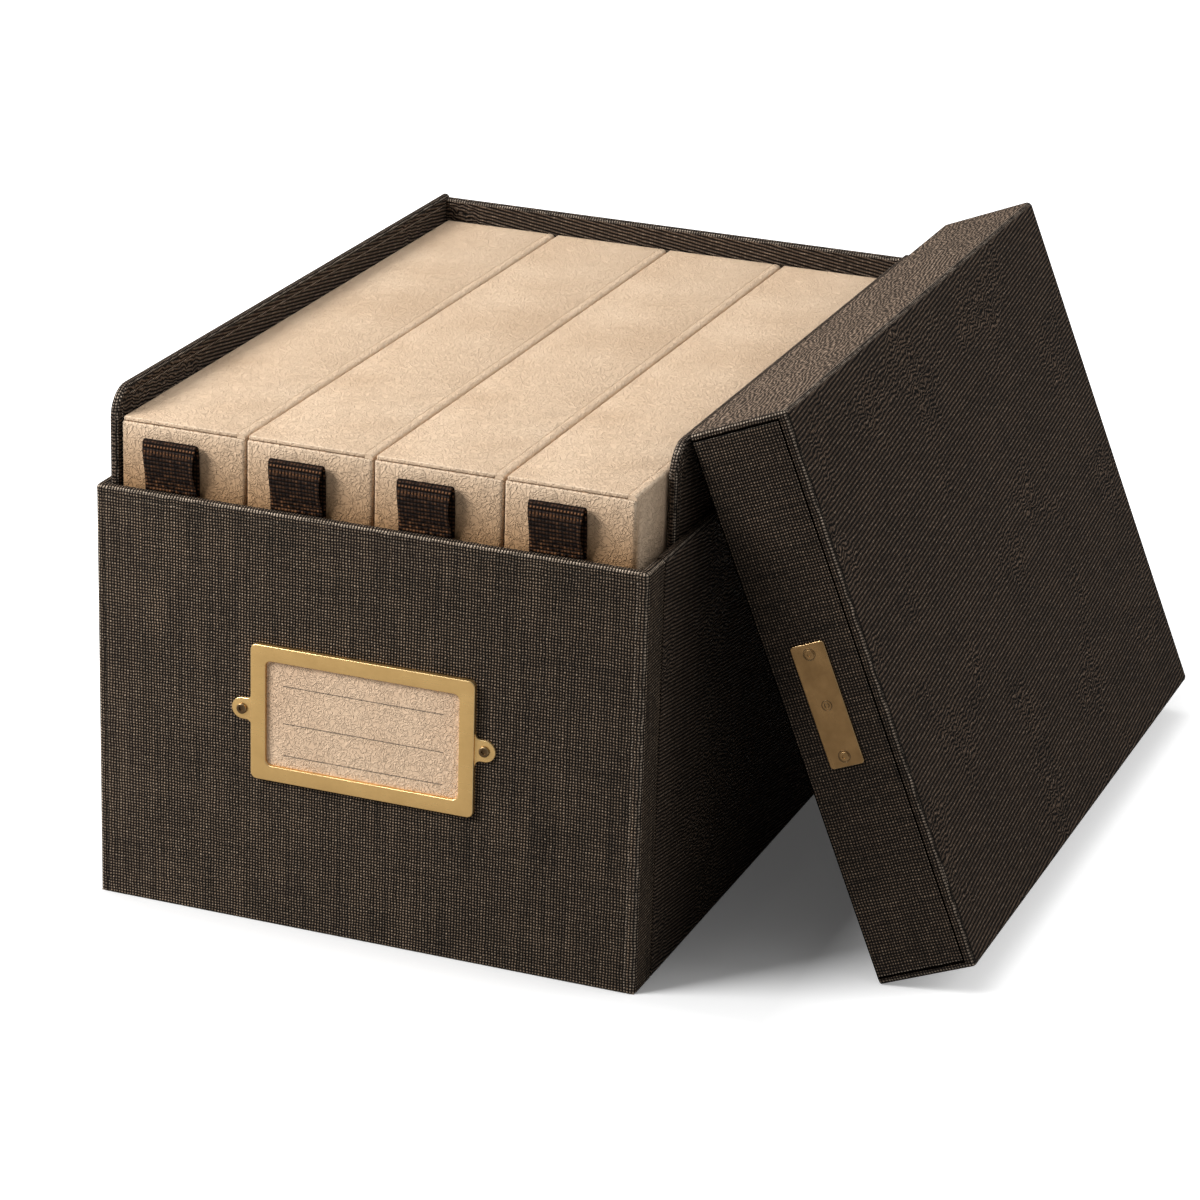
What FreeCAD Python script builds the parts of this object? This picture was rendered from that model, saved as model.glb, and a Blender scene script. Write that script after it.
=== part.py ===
import FreeCAD, Part
import os
import re

# Archival storage box: a cloth-covered base with a raised shoulder, four paper-covered cases
# that stand in it, each with a hinged top flap and a ribbon pull, a brass label holder with
# its card, and the lift-off lid, which leans on the right-hand side of the base.
#
# Millimetres, +Z up. The origin is the middle of the underside; the label faces -Y.
# In the code, y is measured from the front face of the base and shifted to the middle last.

doc = FreeCAD.newDocument("archival_box")

DIMENSIONS = [
    # base
    ("box_width", 200.0),
    ("box_depth", 288.0),
    ("base_height", 150.0),
    ("board", 2.4),
    ("cloth", 0.5),
    ("paper", 0.4),
    ("corner_round", 1.8),
    ("cloth_return", 14.5),
    ("turn_in", 22.0),
    # shoulder that locates the lid
    ("neck_board", 3.0),
    ("neck_cloth_thick", 0.4),
    ("neck_rise", 32.0),
    ("side_extra", 0.8),
    ("left_setback", 4.5),
    ("right_setback", 33.0),
    ("neck_corner", 10.5),
    # cases
    ("case_gap", 0.6),
    ("case_rise", 23.5),
    ("case_board", 2.0),
    ("floor_gap", 0.2),
    ("flap_thick", 1.4),
    ("flap_gap", 0.3),
    ("flap_side_gap", 0.3),
    ("hinge_width", 3.2),
    # ribbon pulls
    ("ribbon_width", 20.0),
    ("ribbon_thick", 0.7),
    ("ribbon_depth", 2.1),
    ("ribbon_gap", 0.4),
    ("ribbon_length", 56.0),
    ("ribbon_drop", 5.6),
    ("ribbon_offset", 3.4),
    # label holder and card
    ("holder_width", 82.0),
    ("holder_height", 49.0),
    ("holder_thick", 1.9),
    ("holder_border", 5.5),
    ("holder_round", 2.2),
    ("holder_raise", 3.6),
    ("ear_radius", 3.9),
    ("ear_reach", 3.5),
    ("pin_shank", 1.2),
    ("pin_head", 1.9),
    ("pin_head_height", 0.9),
    ("card_thick", 0.4),
    ("card_gap", 0.15),
    ("card_border", 2.0),
    # lid
    ("lid_board", 1.6),
    ("lid_gap", 0.4),
    ("lid_clear", 0.4),
    ("lid_round", 1.5),
    ("lid_lean", 67.6),
    ("lean_gap", 0.3),
    ("lid_setback", 42.0),
    ("panel_inset", 2.6),
    # plate on the lid
    ("plate_length", 44.0),
    ("plate_width", 12.4),
    ("plate_thick", 0.8),
    ("plate_round", 1.2),
    ("plate_height", 15.4),
    ("screw_spacing", 36.6),
    ("screw_shank", 0.9),
    ("screw_head", 1.75),
    ("screw_head_height", 0.5),
]

CASE_COUNT = 4

size = doc.addObject("Spreadsheet::Sheet", "Size")
for row, (alias, amount) in enumerate(DIMENSIONS, start=1):
    size.set(f"A{row}", alias)
    size.set(f"B{row}", str(amount))
    size.setAlias(f"B{row}", alias)
doc.recompute()

ALIASES = re.compile(r"\b(" + "|".join(alias for alias, amount in DIMENSIONS) + r")\b")

# Places worked out from the driving sizes, as expressions.
HALF = "(box_width / 2)"
WALL = "(board + cloth)"
INNER = f"({HALF} - {WALL})"
FLOOR_TOP = "(paper + board + paper)"
NECK_THICK = "(neck_board + 2 * neck_cloth_thick)"
NECK_OUT = INNER
NECK_IN = f"({NECK_OUT} - {NECK_THICK})"
NECK_TOP = "(base_height + neck_rise)"
SIDE_TOP = f"({NECK_TOP} + side_extra)"
BACK_OUT = f"(box_depth - {WALL})"
BACK_IN = f"({BACK_OUT} - {NECK_THICK})"

CASE_WIDTH = f"((2 * {NECK_IN} - {CASE_COUNT + 1} * case_gap) / {CASE_COUNT})"
CASE_FRONT = f"({WALL} + cloth + ribbon_gap + ribbon_depth)"
CASE_BACK = f"({BACK_IN} - case_gap)"
CASE_DEPTH = f"({CASE_BACK} - {CASE_FRONT})"
CASE_FLOOR = f"({FLOOR_TOP} + floor_gap)"
CASE_TOP = "(base_height + case_rise)"
CASE_WALL_TOP = f"({CASE_TOP} - flap_thick - flap_gap)"
CASE_WALL_HEIGHT = f"({CASE_WALL_TOP} - {CASE_FLOOR})"

HOLDER_MIDDLE = "(base_height / 2 + holder_raise)"
HOLDER_TOP = f"({HOLDER_MIDDLE} + holder_height / 2)"
HOLDER_BOTTOM = f"({HOLDER_MIDDLE} - holder_height / 2)"
PIN_X = "(holder_width / 2 + ear_reach)"
CARD_DEPTH = "(card_thick + 2 * card_gap)"

LID_WALL = "(lid_board + cloth)"
LID_WIDTH = f"(2 * ({NECK_OUT} + lid_gap + {LID_WALL}))"
LID_DEPTH = f"(box_depth - 2 * ({WALL} - lid_gap - {LID_WALL}))"
LID_HEIGHT = "(neck_rise + side_extra + lid_clear + paper + lid_board + cloth)"
LEAN_SIN = "sin(lid_lean * 1deg)"
LEAN_COS = "cos(lid_lean * 1deg)"
LID_FOOT_X = f"({NECK_OUT} + ({SIDE_TOP} * {LEAN_COS} + lean_gap) / {LEAN_SIN})"
LID_X = f"({LID_FOOT_X} - {LID_WIDTH} * {LEAN_COS})"
LID_Z = f"({LID_WIDTH} * {LEAN_SIN})"

nodes = []


def bound(text):
    """An expression with each driving size written as its cell in the sheet."""
    return ALIASES.sub(r"Size.\1", str(text))


def bind(thing, path, text):
    thing.setExpression(path, bound(text))


def keep(thing, label):
    """Give a finished sub-part its own name and list it for the export."""
    thing.Label = label
    nodes.append(thing)
    return thing


def place(thing, corner, leaned=False):
    """Put a body at a corner of the base's frame, or of the leaning lid's frame."""
    along, back, up = corner
    if leaned:
        thing.Placement = FreeCAD.Placement(
            FreeCAD.Vector(), FreeCAD.Rotation(FreeCAD.Vector(0, 1, 0), 1.0)
        )
        bind(thing, "Placement.Rotation.Angle", "lid_lean * 1deg")
        bind(thing, "Placement.Base.x", f"{LID_X} + ({along}) * {LEAN_COS} + ({up}) * {LEAN_SIN}")
        bind(thing, "Placement.Base.y", f"lid_setback + ({back}) - box_depth / 2")
        bind(thing, "Placement.Base.z", f"{LID_Z} - ({along}) * {LEAN_SIN} + ({up}) * {LEAN_COS}")
    else:
        bind(thing, "Placement.Base.x", along)
        bind(thing, "Placement.Base.y", f"({back}) - box_depth / 2")
        bind(thing, "Placement.Base.z", up)


def add_box(body, corner, extent, kind="AdditiveBox"):
    """A box feature inside a body, at a corner counted from the body's own origin."""
    box = body.newObject("PartDesign::" + kind, body.Name + "_box")
    for name, text in zip(("Length", "Width", "Height"), extent):
        bind(box, name, text)
    for name, text in zip("xyz", corner):
        bind(box, "Placement.Base." + name, text)
    return box


def add_rod(body, foot, radius, length, kind="AdditiveCylinder"):
    """A round feature inside a body that runs from its foot towards the front."""
    rod = body.newObject("PartDesign::" + kind, body.Name + "_rod")
    bind(rod, "Radius", radius)
    bind(rod, "Height", length)
    rod.Placement.Rotation = FreeCAD.Rotation(FreeCAD.Vector(1, 0, 0), 90)
    for name, text in zip("xyz", foot):
        bind(rod, "Placement.Base." + name, text)
    return rod


def round_edges(body, radius, wanted):
    """Fillet every edge of the body whose middle point and direction are wanted."""
    doc.recompute()
    tip = body.Tip
    names = []
    for number, edge in enumerate(tip.Shape.Edges, start=1):
        middle = edge.valueAt((edge.FirstParameter + edge.LastParameter) / 2)
        direction = edge.tangentAt(edge.FirstParameter)
        if wanted(middle, direction):
            names.append(f"Edge{number}")
    if not names:
        raise RuntimeError("no edge to round on " + body.Name)
    fillet = body.newObject("PartDesign::Fillet", body.Name + "_fillet")
    fillet.Base = (tip, names)
    bind(fillet, "Radius", radius)
    doc.recompute()


def block(name, corner, extent, leaned=False):
    """A body that starts as one box, with its own origin at the box's corner."""
    body = doc.addObject("PartDesign::Body", name)
    add_box(body, ("0", "0", "0"), extent)
    place(body, corner, leaned)
    return body


def board(name, corner, extent, leaned=False):
    return keep(block(name, corner, extent, leaned), name)


def cut(label, base, tools):
    """What is left of one body when others are taken away."""
    tool = tools[0]
    if len(tools) > 1:
        tool = doc.addObject("Part::MultiFuse", label + "_tools")
        tool.Shapes = tools
    result = doc.addObject("Part::Cut", label + "_cut")
    result.Base = base
    result.Tool = tool
    return keep(result, label)


def group(label, members):
    """Identical fasteners kept as separate solids of one node."""
    result = doc.addObject("Part::Compound", label + "_group")
    result.Links = members
    return keep(result, label)


def value(text):
    """The present number behind an expression, for choosing edges."""
    return float(doc.Size.evalExpression(ALIASES.sub(r"\1", str(text))))


def near(first, second):
    return abs(first - second) < 0.01


# ---------------------------------------------------------------- base
# The underside sheet and the floor carry the box; four boards stand on the sheet.

board("underside_paper", (f"-{HALF} + cloth", "cloth", "0"),
      ("box_width - 2 * cloth", "box_depth - 2 * cloth", "paper"))
board("floor_board", (f"-{INNER}", WALL, "paper"),
      (f"2 * {INNER}", f"box_depth - 2 * {WALL}", "board"))
board("floor_lining", (f"-{NECK_IN}", f"{WALL} + cloth", "paper + board"),
      (f"2 * {NECK_IN}", f"{BACK_IN} - {WALL} - cloth", "paper"))

BOARD_HEIGHT = "(base_height - cloth - paper)"


def end_board(name, back, outer_face):
    """A front or back board, rounded at its two outer corners."""
    body = block(name, (f"-{HALF} + cloth", back, "paper"),
                 ("box_width - 2 * cloth", "board", BOARD_HEIGHT))
    round_edges(body, "corner_round",
                lambda middle, way: abs(way.z) > 0.9 and near(middle.y, outer_face))
    return body


front_core = end_board("front_core", "cloth", 0.0)
back_core = end_board("back_core", f"box_depth - {WALL}", value("board"))
keep(back_core, "back_board")


SIDE_SIZE = ("board", f"box_depth - 2 * {WALL}", BOARD_HEIGHT)
left_board = board("left_board", (f"-{HALF} + cloth", WALL, "paper"), SIDE_SIZE)
right_board = board("right_board", (INNER, WALL, "paper"), SIDE_SIZE)

# Two rivets hold the label holder, so the front board and its cloth are drilled for them.


def pin_holes(name):
    holes = []
    for side, sign in (("left", "-"), ("right", "")):
        body = doc.addObject("PartDesign::Body", f"{name}_{side}")
        add_rod(body, ("0", "0", "0"), "pin_shank", "3 * holder_thick + board")
        place(body, (f"{sign}{PIN_X}", WALL, HOLDER_MIDDLE))
        holes.append(body)
    return holes


drills = pin_holes("pin_hole")
front_board = cut("front_board", front_core, drills)


def skin_rounding(body, front, back):
    """Round the outer corners and the rim of a cloth skin to lie over the boards."""
    box = body.Tip.Shape.BoundBox

    def outer_corner(middle, way):
        at_side = near(middle.x, box.XMin) or near(middle.x, box.XMax)
        at_front = front and near(middle.y, box.YMin)
        at_back = back and near(middle.y, box.YMax)
        return abs(way.z) > 0.9 and at_side and (at_front or at_back)

    round_edges(body, "corner_round + cloth", outer_corner)


# The front cloth turns over the rim and round both corners on to the sides.
front_skin = block("front_skin", (f"-{HALF}", "0", "paper"),
                   ("box_width", "cloth_return", "base_height - paper"))
doc.recompute()
skin_rounding(front_skin, front=True, back=False)
add_box(front_skin, (WALL, f"{WALL} + cloth", "0"),
        (f"box_width - 2 * {WALL}", "cloth_return", "base_height"), "SubtractiveBox")
front_space = block("front_space", (f"-{INNER}", WALL, "0"),
                    (f"2 * {INNER}", "cloth", "base_height - turn_in"))
cut("front_cloth", front_skin, [front_core, left_board, right_board, front_space] + drills)

# The second cloth runs round the left, back and right and over their rims.
body_skin = block("body_skin", (f"-{HALF}", "cloth_return", "paper"),
                  ("box_width", "box_depth - cloth_return", "base_height - paper"))
doc.recompute()
skin_rounding(body_skin, front=False, back=True)
add_box(body_skin, (WALL, "-cloth_return", "0"),
        (f"box_width - 2 * {WALL}", f"box_depth - {WALL}", "base_height"), "SubtractiveBox")
cut("body_cloth", body_skin, [back_core, left_board, right_board])

# ---------------------------------------------------------------- shoulder
# Three boards stand inside the base, one open side to the front, under one cloth cover.

NECK_FOOT = "(paper + board)"


def neck_side(name, corner_x, setback):
    body = block(name, (corner_x, f"{setback} + neck_cloth_thick", NECK_FOOT),
                 ("neck_board", f"{BACK_OUT} - {setback} - 2 * neck_cloth_thick",
                  f"{SIDE_TOP} - neck_cloth_thick - {NECK_FOOT}"))
    doc.recompute()
    box = body.Tip.Shape.BoundBox
    round_edges(body, "neck_corner - neck_cloth_thick",
                lambda middle, way: near(middle.y, box.YMin) and near(middle.z, box.ZMax)
                and abs(way.x) > 0.9)
    return keep(body, name)


neck_left = neck_side("neck_left_board", f"-{NECK_OUT} + neck_cloth_thick",
                      "left_setback")
neck_right = neck_side("neck_right_board", f"{NECK_IN} + neck_cloth_thick",
                       "right_setback")
neck_back = board("neck_back_board",
                  (f"-{NECK_IN} - neck_cloth_thick", f"{BACK_IN} + neck_cloth_thick", NECK_FOOT),
                  (f"2 * ({NECK_IN} + neck_cloth_thick)", "neck_board",
                   f"{NECK_TOP} - neck_cloth_thick - {NECK_FOOT}"))

neck_skin = doc.addObject("PartDesign::Body", "neck_skin")
place(neck_skin, (f"-{NECK_OUT}", "0", NECK_FOOT))
add_box(neck_skin, ("0", "left_setback", "0"),
        (NECK_THICK, f"{BACK_OUT} - left_setback", f"{SIDE_TOP} - {NECK_FOOT}"))
add_box(neck_skin, ("0", BACK_IN, "0"),
        (f"2 * {NECK_OUT}", NECK_THICK, f"{NECK_TOP} - {NECK_FOOT}"))
add_box(neck_skin, (f"2 * {NECK_OUT} - {NECK_THICK}", "right_setback", "0"),
        (NECK_THICK, f"{BACK_OUT} - right_setback", f"{SIDE_TOP} - {NECK_FOOT}"))
doc.recompute()
skin_box = neck_skin.Tip.Shape.BoundBox
round_edges(neck_skin, "neck_corner",
            lambda middle, way: middle.y < skin_box.YMax - 1 and near(middle.z, skin_box.ZMax)
            and abs(way.x) > 0.9)
cut("neck_cloth", neck_skin, [neck_left, neck_right, neck_back])

# ---------------------------------------------------------------- label holder and card
# A plate with a window and two ears; a recess behind it, open at the top, takes the card.

holder = doc.addObject("PartDesign::Body", "label_holder")
place(holder, ("0", "-holder_thick", HOLDER_MIDDLE))
add_box(holder, ("-holder_width / 2", "0", "-holder_height / 2"),
        ("holder_width", "holder_thick", "holder_height"))
round_edges(holder, "holder_round", lambda middle, way: abs(way.y) > 0.9)
EAR_THICK = "(holder_thick / 2)"
add_box(holder, (f"-{PIN_X}", EAR_THICK, "-ear_radius / 2"),
        (f"2 * {PIN_X}", EAR_THICK, "ear_radius"))
for sign in ("-", ""):
    add_rod(holder, (f"{sign}{PIN_X}", "holder_thick", "0"), "ear_radius", EAR_THICK)
WINDOW_WIDTH = "(holder_width - 2 * holder_border)"
WINDOW_HEIGHT = "(holder_height - 2 * holder_border)"
add_box(holder, (f"-{WINDOW_WIDTH} / 2", "-1", f"-{WINDOW_HEIGHT} / 2"),
        (WINDOW_WIDTH, "holder_thick + 2", WINDOW_HEIGHT), "SubtractiveBox")
window_edge = value(f"{WINDOW_WIDTH} / 2")
round_edges(holder, "holder_round",
            lambda middle, way: abs(way.y) > 0.9 and near(abs(middle.x), window_edge))
CARD_WIDTH = "(holder_width - 2 * card_border)"
add_box(holder, (f"-{CARD_WIDTH} / 2 - card_gap", f"holder_thick - {CARD_DEPTH}",
                 "-holder_height / 2 + card_border - card_gap"),
        (f"{CARD_WIDTH} + 2 * card_gap", f"{CARD_DEPTH} + 1", "holder_height"), "SubtractiveBox")
for sign in ("-", ""):
    add_rod(holder, (f"{sign}{PIN_X}", "2 * holder_thick", "0"), "pin_shank",
            "3 * holder_thick", "SubtractiveCylinder")
keep(holder, "label_holder")

board("label_card", (f"-{CARD_WIDTH} / 2", "-card_gap - card_thick",
                     f"{HOLDER_BOTTOM} + card_border"),
      (CARD_WIDTH, "card_thick", "holder_height - card_border - card_gap"))


def fastener(name, shank, length, head, head_height, corner, leaned=False):
    """A pin or screw whose head rests at the corner, with its shank running back."""
    body = doc.addObject("PartDesign::Body", name)
    add_rod(body, ("0", "0", "0"), head, head_height)
    add_rod(body, ("0", length, "0"), shank, length)
    place(body, corner, leaned)
    round_edges(body, f"{head_height} / 2",
                lambda middle, way: near(middle.y, -value(head_height)))
    return body


group("holder_pins", [
    fastener(f"holder_pin_{side}", "pin_shank", f"({EAR_THICK} + {WALL})", "pin_head",
             "pin_head_height", (f"{sign}{PIN_X}", f"-{EAR_THICK}", HOLDER_MIDDLE))
    for side, sign in (("left", "-"), ("right", ""))
])

# ---------------------------------------------------------------- cases
# Each case is five boards, a hinge strip along its right-hand top edge, a flap and a ribbon.


def storage_case(number):
    case = f"case_{number}"
    left = f"(-{NECK_IN} + case_gap + {number - 1} * ({CASE_WIDTH} + case_gap))"
    inner_width = f"{CASE_WIDTH} - 2 * case_board"
    inner_depth = f"{CASE_DEPTH} - 2 * case_board"
    behind = f"{CASE_FRONT} + case_board"
    board(case + "_front", (left, CASE_FRONT, CASE_FLOOR),
          (CASE_WIDTH, "case_board", CASE_WALL_HEIGHT))
    board(case + "_back", (left, f"{CASE_BACK} - case_board", CASE_FLOOR),
          (CASE_WIDTH, "case_board", CASE_WALL_HEIGHT))
    board(case + "_left", (left, behind, CASE_FLOOR),
          ("case_board", inner_depth, CASE_WALL_HEIGHT))
    board(case + "_right", (f"{left} + {CASE_WIDTH} - case_board", behind, CASE_FLOOR),
          ("case_board", inner_depth, CASE_WALL_HEIGHT))
    board(case + "_bottom", (f"{left} + case_board", behind, CASE_FLOOR),
          (inner_width, inner_depth, "case_board"))

    # The strip is rounded along its outer edge; the flap turns about its inner top edge.
    strip = block(case + "_hinge",
                  (f"{left} + {CASE_WIDTH} - hinge_width + flap_side_gap",
                   f"{CASE_FRONT} + flap_side_gap", CASE_WALL_TOP),
                  ("hinge_width - flap_side_gap", f"{CASE_DEPTH} - 2 * flap_side_gap",
                   "flap_thick + flap_gap"))
    doc.recompute()
    box = strip.Tip.Shape.BoundBox
    round_edges(strip, "flap_thick",
                lambda middle, way: near(middle.x, box.XMax) and near(middle.z, box.ZMax))
    keep(strip, case + "_hinge")
    board(case + "_flap", (f"{left} + flap_side_gap", f"{CASE_FRONT} + flap_side_gap",
                           f"{CASE_TOP} - flap_thick"),
          (f"{CASE_WIDTH} - flap_side_gap - hinge_width",
           f"{CASE_DEPTH} - 2 * flap_side_gap", "flap_thick"))

    # The ribbon is folded double, with its fold at the top and its ends on the case front.
    ribbon = block(case + "_ribbon",
                   (f"{left} + {CASE_WIDTH} / 2 - ribbon_offset - ribbon_width / 2",
                    f"{CASE_FRONT} - ribbon_depth", f"{CASE_TOP} - ribbon_drop - ribbon_length"),
                   ("ribbon_width", "ribbon_depth", "ribbon_length"))
    doc.recompute()
    top = ribbon.Tip.Shape.BoundBox.ZMax
    round_edges(ribbon, "0.48 * ribbon_depth",
                lambda middle, way: near(middle.z, top) and abs(way.x) > 0.9)
    add_box(ribbon, ("-1", "ribbon_thick", "-1"),
            ("ribbon_width + 2", "ribbon_depth - 2 * ribbon_thick",
             "ribbon_length - ribbon_thick + 1"), "SubtractiveBox")
    keep(ribbon, case + "_ribbon")


for number in range(1, CASE_COUNT + 1):
    storage_case(number)

# ---------------------------------------------------------------- lid
# Built in its own frame: x from the upper long side to the lower one, z from rim to top.

SKIRT = "(neck_rise + side_extra + lid_clear + paper)"
LID_IN_WIDTH = f"({LID_WIDTH} - 2 * {LID_WALL})"
LID_IN_DEPTH = f"({LID_DEPTH} - 2 * {LID_WALL})"


def lid_panel(name, corner, extent, rounded):
    """A lid board whose wanted outer edges are rounded under the cloth."""
    body = block(name, corner, extent, leaned=True)
    doc.recompute()
    box = body.Tip.Shape.BoundBox
    if rounded:
        round_edges(body, "lid_round", lambda middle, way: rounded(middle, way, box))
    return body


def all_outer(middle, way, box):
    """Upright corners and the edges of the outer face."""
    at_side = near(middle.x, box.XMin) or near(middle.x, box.XMax)
    at_end = near(middle.y, box.YMin) or near(middle.y, box.YMax)
    if abs(way.z) > 0.9:
        return at_side and at_end
    return near(middle.z, box.ZMax)


lid_top = lid_panel("lid_top_board", ("cloth", "cloth", SKIRT),
                    (f"{LID_WIDTH} - 2 * cloth", f"{LID_DEPTH} - 2 * cloth", "lid_board"),
                    all_outer)
SKIRT_BOARD = f"({SKIRT} - cloth)"
lid_front = lid_panel("lid_front_core", ("cloth", "cloth", "cloth"),
                      (f"{LID_WIDTH} - 2 * cloth", "lid_board", SKIRT_BOARD),
                      lambda middle, way, box: abs(way.z) > 0.9 and near(middle.y, box.YMin))
lid_rear = lid_panel("lid_rear_board", ("cloth", f"{LID_DEPTH} - {LID_WALL}", "cloth"),
                     (f"{LID_WIDTH} - 2 * cloth", "lid_board", SKIRT_BOARD),
                     lambda middle, way, box: abs(way.z) > 0.9 and near(middle.y, box.YMax))
lid_upper = lid_panel("lid_upper_board", ("cloth", LID_WALL, "cloth"),
                      ("lid_board", LID_IN_DEPTH, SKIRT_BOARD), None)
lid_lower = lid_panel("lid_lower_board", (f"{LID_WIDTH} - {LID_WALL}", LID_WALL, "cloth"),
                      ("lid_board", LID_IN_DEPTH, SKIRT_BOARD), None)
for panel in (lid_top, lid_rear, lid_upper, lid_lower):
    keep(panel, panel.Name)
LINING_GAP = "(2 * lid_gap)"
board("lid_lining", (f"{LID_WALL} + {LINING_GAP}", f"{LID_WALL} + {LINING_GAP}", f"{SKIRT} - paper"),
      (f"{LID_IN_WIDTH} - 2 * {LINING_GAP}", f"{LID_IN_DEPTH} - 2 * {LINING_GAP}", "paper"),
      leaned=True)

# The end panels are cloth let into the wrap, a little inside the edges of each short end.
PANEL_WIDTH = f"({LID_WIDTH} - 2 * panel_inset)"
PANEL_HEIGHT = f"({LID_HEIGHT} - panel_inset)"


def end_panel(name, back):
    return block(name, ("panel_inset", back, "0"), (PANEL_WIDTH, "cloth", PANEL_HEIGHT),
                 leaned=True)


def screw_holes():
    """Two holes through the plate, the cloth and the front board of the lid."""
    holes = []
    for side, sign in (("upper", "-"), ("lower", "+")):
        body = doc.addObject("PartDesign::Body", "screw_hole_" + side)
        add_rod(body, ("0", "0", "0"), "screw_shank", f"2 * plate_thick + {LID_WALL}")
        place(body, (f"{LID_WIDTH} / 2 {sign} screw_spacing / 2", LID_WALL, "plate_height"),
              leaned=True)
        holes.append(body)
    return holes


front_panel = end_panel("lid_front_panel", "0")
rear_panel = end_panel("lid_rear_panel", f"{LID_DEPTH} - cloth")
lid_drills = screw_holes()

cut("lid_front_board", lid_front, lid_drills)
cut("lid_front_cloth", front_panel, [lid_front] + lid_drills)
cut("lid_rear_cloth", rear_panel, [lid_rear])

# The wrap covers the top and all four skirts up to the end panels; a binding strip closes
# the rim of the lower side, on which the lid stands.
binding = block("lid_lower_binding", (f"{LID_WIDTH} - {LID_WALL}", "0", "0"),
                (LID_WALL, LID_DEPTH, "cloth"), leaned=True)
doc.recompute()
binding_edge = binding.Tip.Shape.BoundBox.XMax
round_edges(binding, "lid_round + cloth",
            lambda middle, way: abs(way.z) > 0.9 and near(middle.x, binding_edge))
keep(binding, "lid_lower_binding")
wrap = block("lid_wrap_skin", ("0", "0", "0"), (LID_WIDTH, LID_DEPTH, LID_HEIGHT), leaned=True)
doc.recompute()
wrap_box = wrap.Tip.Shape.BoundBox
round_edges(wrap, "lid_round + cloth",
            lambda middle, way: all_outer(middle, way, wrap_box))
add_box(wrap, (LID_WALL, LID_WALL, "-1"), (LID_IN_WIDTH, LID_IN_DEPTH, f"{SKIRT} + 1"),
        "SubtractiveBox")
cut("lid_wrap", wrap, [lid_top, lid_front, lid_rear, lid_upper, lid_lower,
                       front_panel, rear_panel, binding])

# The plate on the front end, with its two screws.
plate = doc.addObject("PartDesign::Body", "lid_plate")
place(plate, (f"{LID_WIDTH} / 2 - plate_length / 2", "-plate_thick",
              "plate_height - plate_width / 2"), leaned=True)
add_box(plate, ("0", "0", "0"), ("plate_length", "plate_thick", "plate_width"))
round_edges(plate, "plate_round", lambda middle, way: abs(way.y) > 0.9)
for sign in ("-", "+"):
    add_rod(plate, (f"plate_length / 2 {sign} screw_spacing / 2", "2 * plate_thick",
                    "plate_width / 2"), "screw_shank", "3 * plate_thick", "SubtractiveCylinder")
keep(plate, "lid_plate")

group("plate_screws", [
    fastener(f"plate_screw_{side}", "screw_shank", f"(plate_thick + {LID_WALL})", "screw_head",
             "screw_head_height",
             (f"{LID_WIDTH} / 2 {sign} screw_spacing / 2", "-plate_thick", "plate_height"),
             leaned=True)
    for side, sign in (("upper", "-"), ("lower", "+"))
])

# ---------------------------------------------------------------- checks and export
doc.recompute()
for thing in doc.Objects:
    if "Invalid" in thing.State or "Error" in thing.State:
        raise RuntimeError(f"{thing.Label} did not compute: {thing.State}")
for node in nodes:
    if node.Shape.isNull() or not node.Shape.isValid() or not node.Shape.Solids:
        raise RuntimeError(f"{node.Label} has no valid solid")

os.makedirs("parts", exist_ok=True)
for node in nodes:
    node.Shape.exportStep(f"parts/{node.Label}.step")
print(len(nodes), "nodes")
for name, text in (("case_width", CASE_WIDTH), ("lid_width", LID_WIDTH),
                   ("lid_depth", LID_DEPTH), ("lid_height", LID_HEIGHT), ("lid_foot_x", LID_FOOT_X)):
    print(name, round(value(text), 3))
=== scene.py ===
import math

import bmesh
import bpy
from mathutils import Matrix, Vector


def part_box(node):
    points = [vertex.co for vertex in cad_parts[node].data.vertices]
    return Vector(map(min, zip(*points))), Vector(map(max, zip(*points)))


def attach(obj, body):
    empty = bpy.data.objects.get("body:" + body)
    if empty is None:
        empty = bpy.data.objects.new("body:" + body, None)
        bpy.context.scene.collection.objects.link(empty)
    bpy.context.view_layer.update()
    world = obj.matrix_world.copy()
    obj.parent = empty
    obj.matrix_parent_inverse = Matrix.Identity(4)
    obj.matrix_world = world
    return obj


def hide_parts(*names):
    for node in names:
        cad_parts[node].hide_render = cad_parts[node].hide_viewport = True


# Archival storage box: cloth-covered base with a raised shoulder, four paper cases with ribbon
# pulls, a brass label holder, and the lift-off lid that leans on the base's right-hand side.

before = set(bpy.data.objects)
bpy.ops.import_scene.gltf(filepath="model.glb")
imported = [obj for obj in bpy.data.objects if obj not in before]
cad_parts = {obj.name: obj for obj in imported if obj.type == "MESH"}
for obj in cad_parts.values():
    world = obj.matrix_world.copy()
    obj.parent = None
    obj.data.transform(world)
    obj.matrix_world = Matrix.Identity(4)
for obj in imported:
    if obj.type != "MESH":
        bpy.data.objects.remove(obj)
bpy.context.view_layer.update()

MM = 0.001

# Driving sizes that a node's box doesn't give.
COVER = 0.5 * MM             # book cloth over the board, with its glue
COVER_INSIDE = 0.35 * MM     # the same cloth where it is turned in against the shoulder
SKIN = 0.3 * MM              # the cloth itself
OUTER_RIM = 1.6 * MM
INNER_RIM = 1.0 * MM
CORNER = 2.3 * MM
TURN_IN = 22 * MM
RAIL_ROUND = 1.6 * MM
SHOULDER_CLOTH = 0.4 * MM
SHOULDER_CORNER = 10.5 * MM
CASE_WALL = 2.0 * MM
LID_LEAN = math.radians(67.6)
LID_HEIGHT = 35.7 * MM
LID_WALL = 2.1 * MM
LID_PLAY = 0.4 * MM
LID_ROUND = 2.0 * MM
HOLDER_WIDTH = 82 * MM       # the frame alone, without its ears
HOLDER_BORDER = 5.5 * MM
HOLDER_ROUND = 2.2 * MM
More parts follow.
